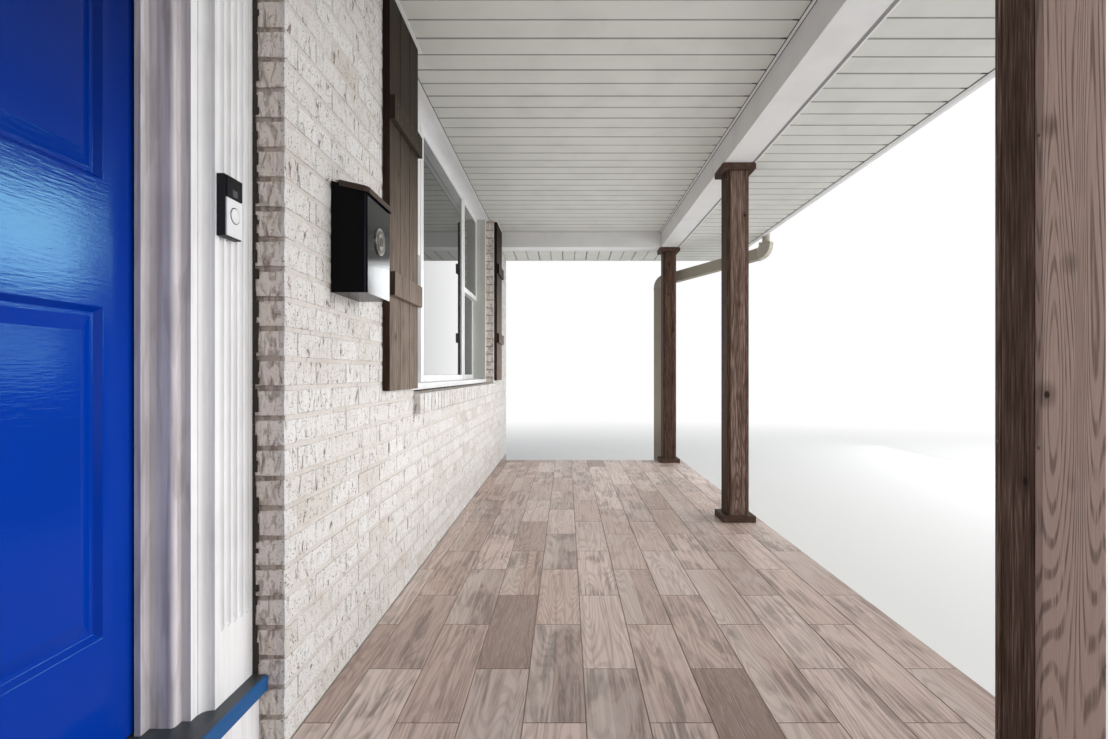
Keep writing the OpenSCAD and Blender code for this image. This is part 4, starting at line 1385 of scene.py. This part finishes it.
@dataclass
class Canopy:
    """The ceiling, soffits, beams and fascias, with their edge channels, shadow lines and lips."""

    pitch: float = 0.1287
    groove_at: float = -0.095
    groove: float = 0.0050
    open_joint: float = 0.0035
    shut_joint: float = 0.0006
    thickness: float = 0.011
    channel_t: float = 0.003
    channel_w: float = 0.016
    notch: tuple[float, float] = (0.010, 0.026)
    line_w: float = 0.004
    hem_w: float = 0.014
    lip_w: float = 0.010
    drip_w: float = 0.024
    narrowest: float = 0.012
    groove_slopes: tuple[float, float] = (-0.95, -0.3)
    notch_depths: tuple[float, float] = (0.0006, 0.0010)
    notch_taper: float = 0.3
    notch_shift: float = 0.001
    notch_seed: int = 9
    channel_arris: float = 0.0006
    line_t: float = 0.0012
    line_back: float = 0.001
    deep_line: tuple[float, float] = (0.002, 0.0055)
    wall_w: float = 0.038
    window_w: float = 0.032
    entry_w: float = 0.030
    metal_arris: float = 0.003
    hem_rise: float = 0.001
    lip_t: float = 0.004
    end_lip_t: float = 0.003
    drip_t: float = 0.003
    drip_inset: float = 0.002

    def strip_size(self, along: Axis, length: float) -> list[float]:
        """The size of a panel strip of some length."""
        size = [self.pitch, self.pitch, self.thickness]
        size[along.value] = length
        return size

    def board(self, along: Axis, length: float) -> bpy.types.Object:
        """Models one grooved panel strip, centred, with its underside eased along its length."""
        strip = centred("strip_master", self.strip_size(along, length))
        other = 1 - along.value

        def long_edge(a: Vector, b: Vector) -> bool:
            """Whether an edge is one of the two long edges of the underside."""
            return a.z < 0 and b.z < 0 and abs(a[other] - b[other]) < MERGE_WITHIN

        return bevel_edges(strip, long_edge, self.groove, 1)

    def strips(self, name: str, node: str, fields: Sequence[tuple[float, float, float, float]],
               along: Axis) -> None:
        """Lays strips over rectangular fields and stands them in for a node.

        Args:
            name: the piece's name.
            node: the node.
            fields: the fields, as x0, x1, y0 and y1.
            along: the direction of the grooves.
        """
        foot = low_of(node).z
        size = self.strip_size(along, 1.0)
        master = self.board(along, 1.0)
        across = 1 - along.value
        places = []
        for area in fields:
            start, end = area[2 * across:2 * across + 2]
            first = math.floor((start - self.groove_at) / self.pitch)
            for k in range(first, math.ceil((end - self.groove_at) / self.pitch)):
                gap = self.open_joint if k % 2 else self.shut_joint
                low = [area[0], area[2], foot]
                high = [area[1], area[3], foot + self.thickness]
                low[across] = max(self.groove_at + k * self.pitch + gap, start)
                high[across] = min(self.groove_at + (k + 1) * self.pitch, end)
                if high[across] - low[across] > self.narrowest:
                    places.append(place_at(low, high, size))
        made = scattered(name, [master], places, seed=len(places))
        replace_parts(made, node)
        shown(made, SOFFIT)
        steep, level = self.groove_slopes
        # painted shade in the grooves: their slopes take the darker groove finish
        repaint(made, SOFFIT_GROOVE_SHADE, lambda face: steep < face.normal.z < level)
        discard(master)

    def notches(self, name: str, span: tuple[float, float], edge: float, z: float) -> None:
        """Adds painted shadows at the ends of the grooves along one edge of a field.

        Args:
            name: the piece's name.
            span: where the field starts and ends along X.
            edge: the edge's place along Y, with the field behind it.
            z: the height of the field's underside.
        """
        wide, long = self.notch
        below, above = self.notch_depths
        master = block("notch_master", (-wide / 2, 0, -below), (wide / 2, long, above))
        with editing(master, Part.EDGE, edges_where(master, lambda a, b: min(a.y, b.y) > long / 2)):
            bpy.ops.transform.resize(value=(self.notch_taper, 1, 1), center_override=(0, long, 0))
        first, last = ((end - self.groove_at) / self.pitch for end in span)
        places = [Matrix.Translation((self.groove_at + k * self.pitch + self.notch_shift, edge, z))
                  for k in range(math.ceil(first), math.floor(last) + 1)]
        shown(scattered(name, [master], places, self.notch_seed), EAVE_SHADOW)
        discard(master)

    def channel(self, name: str, low: Sequence[float], high: Sequence[float],
                finish: Finish = WHITE_METAL) -> None:
        """Fits a thin edge channel between two corners."""
        shown(eased(block(name, low, high), self.channel_arris, 1), finish)

    def build(self) -> None:
        """Builds the canopy."""
        self.line_ceiling()
        self.line_soffits()
        for node in ("front_beam", "end_beams", "front_fascia", "end_fascias"):
            softened(node, WHITE_METAL, self.metal_arris)
        self.trim_beams()

    def line_ceiling(self) -> None:
        """Lays the ceiling and its tongues into the window's and the entry's recess, with edge channels."""
        low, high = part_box("porch_ceiling")
        face = low_of("brick_left").y
        window_low, window_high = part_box("window_frame")
        entry_low, entry_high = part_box("pilasters")
        fields = [(low.x, high.x, low.y, face),
                  (window_low.x, window_high.x, face, window_low.y),
                  (entry_low.x, entry_high.x, face, entry_low.y)]
        self.strips("ceiling_strips", "porch_ceiling", fields, Axis.Y)
        z, face_z, line_z = low.z, low.z - self.channel_t, low.z - self.line_t
        w, line = self.channel_w, self.line_w
        deep_w, deep_t = self.deep_line
        self.channel("channel_front", (low.x, low.y + deep_w, face_z), (high.x, low.y + w, z))
        self.channel("line_front", (low.x, low.y + w, line_z), (high.x, low.y + w + line, z), EAVE_SHADOW)
        self.channel("line_front_beam", (low.x, low.y, z - deep_t), (high.x, low.y + deep_w, z), EAVE_SHADOW)
        self.notches("ceiling_notches", (low.x, high.x), low.y + w + line, z)
        self.channel("channel_left", (low.x, low.y, face_z), (low.x + w, face, z))
        self.channel("channel_right", (high.x - w, low.y, face_z), (high.x, face, z))
        self.channel("line_right", (high.x - w - line, low.y, line_z), (high.x - w, face, z), EAVE_SHADOW)
        spans = ((low.x, entry_low.x), (entry_high.x, window_low.x), (window_high.x, high.x))
        for k, (x0, x1) in enumerate(spans):
            self.channel("channel_wall_%d" % k, (x0, face - self.wall_w, face_z), (x1, face, z))
        edge = window_low.y - self.window_w
        self.channel("channel_window", (window_low.x, edge, face_z), (window_high.x, window_low.y, z))
        self.channel("channel_entry", (entry_low.x, entry_low.y - self.entry_w, face_z),
                     (entry_high.x, entry_low.y, z))
        self.channel("line_window", (window_low.x, edge - line, line_z), (window_high.x, edge, z),
                     EAVE_SHADOW)

    def line_soffits(self) -> None:
        """Lays the soffits outside the beams."""
        low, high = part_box("front_soffit")
        self.strips("front_soffit_strips", "front_soffit", [(low.x, high.x, low.y, high.y)], Axis.Y)
        inner = low.y + self.line_w
        self.channel("eave_line", (low.x, low.y - self.line_back, low.z - self.line_t),
                     (high.x, inner, low.z), EAVE_SHADOW)
        self.notches("soffit_notches", (low.x, high.x), inner, low.z)
        fascia = low_of("front_fascia")
        self.channel("eave_drip", (fascia.x + self.drip_inset, fascia.y - self.drip_w, fascia.z),
                     (-fascia.x - self.drip_inset, fascia.y, fascia.z + self.drip_t))
        low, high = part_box("end_soffits")
        inner = high_of("end_beams").x
        self.strips("end_soffit_strips", "end_soffits",
                    [(low.x, -inner, low.y, high.y), (inner, high.x, low.y, high.y)], Axis.X)

    def trim_beams(self) -> None:
        """Adds the hem, a strip of painted shade, and the lips along the foot of the beams' outer sides."""
        low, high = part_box("front_beam")
        # painted shade: the hem is a grey strip along the beam's outer foot
        self.channel("beam_hem", (low.x, low.y, low.z - self.line_t),
                     (high.x, low.y + self.hem_w, low.z + self.hem_rise), SHADED_HEM)
        self.channel("beam_lip", (low.x, low.y - self.lip_w, low.z - self.lip_t), (high.x, low.y, low.z))
        for side, name in ((-1, "left"), (1, "right")):
            x0, x1 = sorted((side * high.x, side * (high.x + self.lip_w)))
            self.channel("beam_lip_" + name, (x0, low.y, low.z - self.end_lip_t),
                         (x1, low_of("brick_left").y, low.z))


@dataclass
class RainWare:
    """The gutter's lip and hangers, and the downspout's ribbed bends."""

    lip_r: float = 0.0045
    lip_inset: Point = (0.004, 0.001, 0.0005)
    lip_sides: int = 12
    lip_arris: float = 0.001
    hanger_w: float = 0.025
    hanger_pitch: float = 0.6
    hanger_from: float = 0.3
    hanger_back: float = 0.003
    hanger_drops: tuple[float, float] = (0.007, 0.004)
    hanger_arris: float = 0.0008
    hanger_seed: int = 2
    pipe_w: float = 0.076
    pipe_d: float = 0.102
    pipe_turn: float = 47.0
    pipe_fall: float = 7.0
    bend_in: float = 0.025
    pipe_back: float = 0.050
    outlet_drop: float = 0.165
    rib_rise: float = 0.003
    rib_t: float = 0.0035
    rib_arris: float = 0.0015
    ribs: int = 9
    rib_seed: int = 4
    pipe_x: float = 3.7650
    pipe_run: float = 1.1759

    def build(self) -> None:
        """Builds the rain ware."""
        dressed("gutter", WHITE_METAL)
        # painted shade: the downspout takes the darkened cream
        dressed("downspout", SHADED_CREAM_METAL)
        self.fit_gutter()
        self.rib_bends()

    def fit_gutter(self) -> None:
        """Adds the rolled lip and the hangers inside the gutter."""
        low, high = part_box("gutter")
        length = high.x - low.x
        in_x, in_y, in_z = self.lip_inset
        lip = drum("gutter_lip", (low.x + in_x, low.y + self.lip_r + in_y, high.z - self.lip_r - in_z),
                   Axis.X, self.lip_r, length - 2 * in_x, self.lip_sides)
        shown(eased(lip, self.lip_arris, 1), WHITE_METAL)
        foot, head = (high.z - drop for drop in self.hanger_drops)
        hanger = block("hanger_master", (-self.hanger_w / 2, low.y + self.hanger_back, foot),
                       (self.hanger_w / 2, high.y, head))
        eased(hanger, self.hanger_arris, 1)
        count = int(length / self.hanger_pitch)
        pitch = (length - 2 * self.hanger_from) / count
        places = [Matrix.Translation((low.x + self.hanger_from + k * pitch, 0, 0)) for k in range(count + 1)]
        shown(scattered("gutter_hangers", [hanger], places, self.hanger_seed), WHITE_METAL)
        discard(hanger)

    def rib_bends(self) -> None:
        """Adds the ribs of the two bends, which fan out from their inner corners."""
        gutter_foot = low_of("gutter").z
        post_y = (low_of("post_4").y + high_of("post_4").y) / 2
        bend_r = self.pipe_d / 2 + self.bend_in
        fall = math.radians(self.pipe_fall)
        top = gutter_foot - self.outlet_drop
        slant = self.pipe_run - 2 * bend_r + 2 * bend_r * math.sin(fall)
        foot = top - 2 * bend_r * math.cos(fall) - slant * math.tan(fall)
        around = 2 * self.rib_rise
        rib = centred("rib_master", (self.pipe_d + around, self.pipe_w + around, self.rib_t))
        eased(rib, self.rib_arris, 1)
        stand = (Matrix.Translation((self.pipe_x, post_y + self.pipe_back, 0))
                 @ Matrix.Rotation(math.radians(self.pipe_turn), 4, "Z"))
        places = []
        sweep = math.pi / 2 - fall
        for k in range(self.ribs):
            angle = sweep * (k + 0.5) / self.ribs
            lower = Matrix.Translation((-bend_r, 0, foot)) @ Matrix.Rotation(-angle, 4, "Y")
            places.append(stand @ lower @ Matrix.Translation((bend_r, 0, 0)))
            upper = Matrix.Translation((bend_r - self.pipe_run, 0, top)) @ Matrix.Rotation(-angle, 4, "Y")
            places.append(stand @ upper @ Matrix.Translation((-bend_r, 0, 0)))
        shown(scattered("downspout_ribs", [rib], places, self.rib_seed), RIB_METAL)
        discard(rib)


@dataclass
class Roof:
    """The roof's boarding, its shingles and the hips' caps.

    The shingles stop edge_gap short of the back, and those of the ends stop as far short of the hips.
    """

    exposure: float = 0.143
    tab: float = 0.305
    slot_w: float = 0.006
    tab_t: float = 0.0048
    lap: float = 1.12
    cap_w: float = 0.305
    cap_lap: float = 1.4
    cap_lift: float = 0.0115
    edge_gap: float = 0.0007
    arris: float = 0.001
    tab_seed: int = 20
    cap_seed: int = 23

    def build(self) -> None:
        """Builds the roof."""
        softened("roof_deck", DECK_BOARD, self.arris, 1)
        low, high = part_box("roof_shingles")
        layer = high.z - high_of("roof_deck").z
        slope = (high.z - low.z - layer) / (high.y - low.y)
        self.cover(low, high, slope)
        self.cap_hips(low, high, slope)

    def folded_cap(self, slope: float) -> bpy.types.Object:
        """Models one cap, centred, whose two wings fall to the slopes on either side of a hip."""
        half = Vector((self.cap_w / 2, self.exposure * self.cap_lap / 2, self.tab_t / 2))
        cap = block("cap_master", -half, half)
        with editing(cap):
            bpy.ops.mesh.bisect(plane_co=(0, 0, 0), plane_no=(1, 0, 0))
        fold = math.acos(math.sqrt((slope ** 2 + 2) / (2 * (slope ** 2 + 1))))
        with editing(cap, Part.EDGE, edges_where(cap, lambda a, b: min(abs(a.x), abs(b.x)) > half.x / 2)):
            bpy.ops.transform.translate(value=(0, 0, -half.x * math.tan(fold)))
        return eased(cap, self.arris, 1)

    def lean(self) -> Matrix:
        """The turn by which a tab or cap lies on the one below it."""
        return Matrix.Rotation(-math.atan2(self.tab_t, self.exposure), 4, "X")

    def cap_hips(self, low: Vector, high: Vector, slope: float) -> None:
        """Laps folded caps up the two hips.

        Args:
            low: the lowest corner of the shingle layer.
            high: its highest corner.
            slope: its rise over its run.
        """
        cap = self.folded_cap(slope)
        run = high.y - low.y
        places = []
        for side in (-1, 1):
            climb = Vector((-side * run, run, slope * run))
            along = climb.normalized()
            outward = Vector((side * slope, -slope, 2)).normalized()
            turn = Matrix((along.cross(outward), along, outward)).transposed().to_4x4()
            stand = Matrix.Translation((side * high.x, low.y, low.z)) @ turn
            for k in range(math.ceil(climb.length / self.exposure)):
                spot = Matrix.Translation((0, (k + 0.5) * self.exposure, self.cap_lift))
                places.append(stand @ spot @ self.lean())
        caps = scattered("hip_caps", [cap], places, self.cap_seed)
        for point, outward in (((0, high.y, 0), (0, 1, 0)), ((0, low.y, 0), (0, -1, 0)),
                               ((high.x, 0, 0), (1, 0, 0)), ((low.x, 0, 0), (-1, 0, 0))):
            cut_away(caps, point, outward)
        shown(caps, SHINGLE)
        discard(cap)

    def cover(self, low: Vector, high: Vector, slope: float) -> None:
        """Covers the three slopes with courses of tabs.

        Args:
            low: the lowest corner of the shingle layer.
            high: its highest corner.
            slope: its rise over its run.
        """
        angle = math.atan(slope)
        run = high.y - low.y
        length = run / math.cos(angle)
        size = (self.tab - self.slot_w, self.exposure * self.lap, self.tab_t)
        tab = eased(centred("tab_master", size), self.arris, 1)
        middle = (low.y + high.y) / 2
        far = high.x + self.edge_gap
        slopes = (
            ("front", (0, low.y), 0, 2 * high.x,
             (((high.x, low.y, 0), (1, 1, 0)), ((-high.x, low.y, 0), (-1, 1, 0)))),
            ("right", (high.x, middle), math.pi / 2, run, (((far, low.y, 0), (-1, -1, 0)),)),
            ("left", (low.x, middle), -math.pi / 2, run, (((-far, low.y, 0), (1, -1, 0)),)))
        back = ((0, high.y - self.edge_gap, 0), (0, 1, 0))
        eave = ((0, low.y, 0), (0, -1, 0))
        pieces = []
        for seed, (name, foot, turn, width, hips) in enumerate(slopes, self.tab_seed):
            lie = (Matrix.Translation((*foot, low.z)) @ Matrix.Rotation(turn, 4, "Z")
                   @ Matrix.Rotation(angle, 4, "X"))
            places = []
            for course in range(math.ceil(length / self.exposure)):
                u = course * self.exposure + size[1] / 2
                start = -width / 2 - (course % 2) * self.tab / 2
                for k in range(math.ceil(width / self.tab) + 1):
                    v = start + (k + 0.5) * self.tab
                    places.append(lie @ Matrix.Translation((v, u, self.tab_t)) @ self.lean())
            piece = scattered("shingles_" + name, [tab], places, seed)
            for point, outward in (back, eave, *hips):
                cut_away(piece, point, outward)
            pieces.append(piece)
        discard(tab)
        roof = joined("shingle_tabs", pieces)
        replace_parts(roof, "roof_shingles")
        shown(roof, SHINGLE)


@dataclass
class Doorbell:
    """The doorbell: its housing, lens, camera eye, plate and ring button."""

    rise: float = 0.0015
    housing_back: float = 0.003
    housing_arris: float = 0.004
    edge: float = 0.002
    lens_share: float = 0.36
    face_t: float = 0.006
    lens_arris: float = 0.002
    eye_half: float = 0.0095
    eye_levels: tuple[float, float] = (0.004, 0.020)
    eye_depths: tuple[float, float] = (-0.0008, 0.002)
    eye_arris: float = 0.0025
    plate_gap: float = 0.0015
    button_drop: float = 0.018
    button_back: float = 0.001
    button_r: float = 0.0165
    button_rim: tuple[float, float] = (0.0022, 0.0010)
    ring_back: float = 0.0002
    ring_r: float = 0.0182
    ring_h: float = 0.0008
    ring_rim: tuple[float, float] = (0.0012, 0.0004)

    def build(self) -> None:
        """Builds the doorbell."""
        low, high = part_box("doorbell")
        front = low.y + self.rise
        back = high.y - THIN
        housing = block("bell_housing", (low.x, front + self.housing_back, low.z), high)
        bevel_edges(housing, lambda a, b: max(a.y, b.y) < back, self.housing_arris, 3)
        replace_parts(housing, "doorbell")
        shown(housing, BELL_BODY)
        split = high.z - (high.z - low.z) * self.lens_share
        inner_low, inner_high = low.x + self.edge, high.x - self.edge
        lens = block("bell_lens", (inner_low, front, split),
                     (inner_high, front + self.face_t, high.z - self.edge))
        shown(eased(lens, self.lens_arris, 3), BELL_LENS)
        middle = (low + high) / 2
        (foot, head), (near, far) = self.eye_levels, self.eye_depths
        eye = block("bell_eye", (middle.x - self.eye_half, front + near, split + foot),
                    (middle.x + self.eye_half, front + far, split + head))
        shown(eased(eye, self.eye_arris, 3), BELL_EYE)
        plate = block("bell_plate", (inner_low, front, low.z + self.edge),
                      (inner_high, front + self.face_t, split - self.plate_gap))
        shown(eased(plate, self.plate_gap, 2), BELL_PLATE)
        level = middle.z - self.button_drop
        button = dished("bell_button", (middle.x, front + self.button_back, level), self.button_r,
                        self.rise + self.button_back, *self.button_rim)
        shown(button, BELL_PLATE)
        ring = dished("bell_ring", (middle.x, front + self.ring_back, level), self.ring_r, self.ring_h,
                      *self.ring_rim)
        shown(ring, BELL_BODY)


@dataclass
class Entry:
    """The door, its surround and sill, and the doorbell.

    The surround's faces towards the left end take the jambs' painted shade from casing_from inwards.
    """

    leaf_arris: float = 0.0012
    jamb_arris: float = 0.0015
    trim_arris: float = 0.002
    casing_arris: float = 0.0022
    casing_from: float = 1.29
    sill_arris: float = 0.004
    sill_top: Colour = (0.040, 0.048, 0.056)
    sill_edge: Colour = (0.004, 0.085, 0.26)
    nosing: float = 0.006
    seam_w: float = 0.003
    seam_d: float = 0.013
    seam_back: float = 0.003
    clod: float = 0.022
    clod_arris: float = 0.001
    clod_heights: tuple[float, float] = (0.5, 1.4)
    clod_depths: tuple[float, float] = (0.4, 1.2)
    seam_seed: int = 5

    def build(self) -> None:
        """Builds the entry."""
        softened("door_leaf", DOOR_PAINT, self.leaf_arris, 2, "door")
        for node in ("door_lockset", "door_hinge_leaves", "frame_hinge_leaves"):
            dressed(node, NICKEL)
        # painted shade: the jambs take the darker copy of the trim paint
        softened("door_jambs", SHADED_JAMB_PAINT, self.jamb_arris)
        for node in ("door_head", "door_riser", "entry_head"):
            softened(node, TRIM_PAINT, self.trim_arris)
        casing = softened("pilasters", TRIM_PAINT, self.casing_arris)
        # painted shade on the surround's faces towards the left end
        repaint(casing, SHADED_JAMB_PAINT, lambda face: face.normal.x < -TURNED and face.center.y > self.casing_from)
        finish = SillBoards("sill_boards", "sill_slate", self.sill_top, self.sill_edge,
                            low_of("door_sill").y + self.nosing)
        softened("door_sill", finish, self.sill_arris, 3)
        Doorbell().build()
        self.shade_seam()

    def shade_seam(self) -> None:
        """Models the ragged dark seam between the surround and the cut bricks beside it."""
        low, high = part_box("pilasters")
        size = (self.seam_w, self.seam_d, self.clod)
        master = eased(centred("clod_master", size), self.clod_arris, 1)
        draw = random.Random(self.seam_seed)
        places = []
        for x, way in ((high.x, -1), (low.x, 1)):
            x0, x1 = sorted((x, x + way * self.seam_w))
            foot = low.z
            while foot < high.z - THIN:
                head = min(foot + self.clod * draw.uniform(*self.clod_heights), high.z)
                depth = self.seam_d * draw.uniform(*self.clod_depths)
                places.append(place_at((x0, low.y - depth, foot), (x1, low.y + self.seam_back, head), size))
                foot = head
        shown(scattered("surround_seam", [master], places, self.seam_seed), DARK_GAP)
        discard(master)


@dataclass
class FrontWindow:
    """The window with its frame, sashes and glass.

    The frame's faces towards the left end are shaded from shaded_from on, at the far jamb.
    """

    shaded_from: float = 2.8
    arris: float = 0.002
    glass_arris: float = 0.001
    bead_d: float = 0.004
    bead_h: float = 0.006

    def build(self) -> None:
        """Builds the window."""
        window = softened("window_frame", VINYL, self.arris)
        repaint(window, VINYL_SHADE,
                lambda face: face.normal.x < -TURNED and face.center.x > self.shaded_from)
        softened("window_sashes", VINYL, self.arris)
        softened("window_glass", GLASS, self.glass_arris, 1)
        low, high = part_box("window_frame")
        bead = block("sill_bead", (low.x, low.y - self.bead_d, low.z),
                     (high.x, low.y + self.bead_d, low.z + self.bead_h))
        shown(eased(bead, self.glass_arris, 1), DARK_GAP)


@dataclass
class Shutters:
    """The board and batten shutters with their nails, which stand at shares of a board and of a batten."""

    nail_r: float = 0.0045
    nail_rise: float = 0.0015
    nail_arris: float = 0.0006
    nail_sides: tuple[float, float] = (0.28, 0.72)
    nail_levels: tuple[float, float] = (0.25, 0.75)
    nail_seed: int = 6
    boards: int = 3
    board_gap: float = 0.003
    batten_levels: tuple[float, float] = (1.195, 1.850)
    batten_h: float = 0.090
    batten_t: float = 0.020
    arris: float = 0.0025
    first_seed: int = 3

    def hang(self, node: str, floor: float, seed: int) -> None:
        """Models one shutter from upright boards and two battens.

        Args:
            node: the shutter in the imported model.
            floor: the height of the porch floor.
            seed: the seed of the boards' tones.
        """
        low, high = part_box(node)
        draw = random.Random(seed)
        face = low.y + self.batten_t
        width = (high.x - low.x + self.board_gap) / self.boards
        corners = [((low.x + k * width, face, low.z),
                    (low.x + (k + 1) * width - self.board_gap, high.y, high.z)) for k in range(self.boards)]
        corners += [((low.x, low.y, floor + level), (high.x, face, floor + level + self.batten_h))
                    for level in self.batten_levels]
        parts = []
        for start, end in corners:
            part = eased(block("shutter_board", start, end), self.arris)
            set_attribute(part, "tone", draw.random())
            parts.append(part)
        shutter = joined(node + "_boards", parts)
        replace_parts(shutter, node)
        shown(shutter, SHUTTER_CEDAR)
        # painted shade on the shutter's sides towards the left end
        repaint(shutter, SHUTTER_SHADED_EDGE, lambda face: face.normal.x < -TURNED)

    def build(self) -> None:
        """Builds both shutters."""
        nail = drum("nail_master", (0, 0, 0), Axis.Y, self.nail_r, -self.nail_rise, FEW_SIDES)
        eased(nail, self.nail_arris, 1)
        places = []
        floor = high_of("floor_tiles").z
        for seed, node in enumerate(("shutter_left", "shutter_right"), self.first_seed):
            self.hang(node, floor, seed)
            low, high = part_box(node)
            width = (high.x - low.x) / self.boards
            for level, board, side, rise in product(self.batten_levels, range(self.boards), self.nail_sides,
                                                    self.nail_levels):
                places.append(Matrix.Translation((low.x + (board + side) * width, low.y + self.nail_rise,
                                                  floor + level + rise * self.batten_h)))
        shown(scattered("shutter_nails", [nail], places, self.nail_seed), SCREW_STEEL)
        discard(nail)


@dataclass
class Mailbox:
    """The mailbox with its lid and round plate, whose discs are given by radius and rise."""

    arris: float = 0.0006
    plate_arris: float = 0.0012
    front_slope: float = -0.3
    discs: tuple[tuple[float, float], ...] = ((0.035, 0.0015), (0.025, 0.0025), (0.014, 0.0035))
    disc_back: float = 0.0005
    disc_rim: tuple[float, float] = (0.003, 0.0012)

    def build(self) -> None:
        """Builds the mailbox."""
        body = softened("mailbox_body", MAIL_ENAMEL, self.arris)
        repaint(body, MAIL_UNDER, lambda face: face.normal.z < -TURNED)
        repaint(body, MAIL_FRONT, lambda face: face.normal.y < self.front_slope)
        softened("mailbox_lid", MAIL_LID, self.arris, 2, "mailbox_lid")
        softened("mailbox_medallion", NICKEL, self.plate_arris)
        low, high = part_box("mailbox_medallion")
        centre = (low + high) / 2
        foot = (centre.x, low.y + self.disc_back, centre.z)
        for k, (radius, rise) in enumerate(self.discs):
            disc = dished("medallion_disc_%d" % k, foot, radius, rise, *self.disc_rim)
            shown(disc, NICKEL if k % 2 else DARK_NICKEL)


@dataclass
class BackWall:
    """The framed wall behind the bricks, plain on its room side."""

    nodes: tuple[str, ...] = ("wall_left", "wall_middle", "wall_below_window", "wall_right", "wall_top")

    def build(self) -> None:
        """Dresses the wall."""
        for node in self.nodes:
            dressed(node, WALL_PAINT)


def main() -> None:
    """Builds the scene."""
    logging.basicConfig(level=logging.INFO, format="%(message)s")
    studio = Studio()
    studio.build()
    for assembly in (BackWall(), BrickWork(), FloorWork(), Posts(), Canopy(), RainWare(), Roof(), Entry(),
                     FrontWindow(), Shutters(), Mailbox()):
        assembly.build()
    studio.shine()
    studio.ease_eaves()


if __name__ == "__main__":
    main()
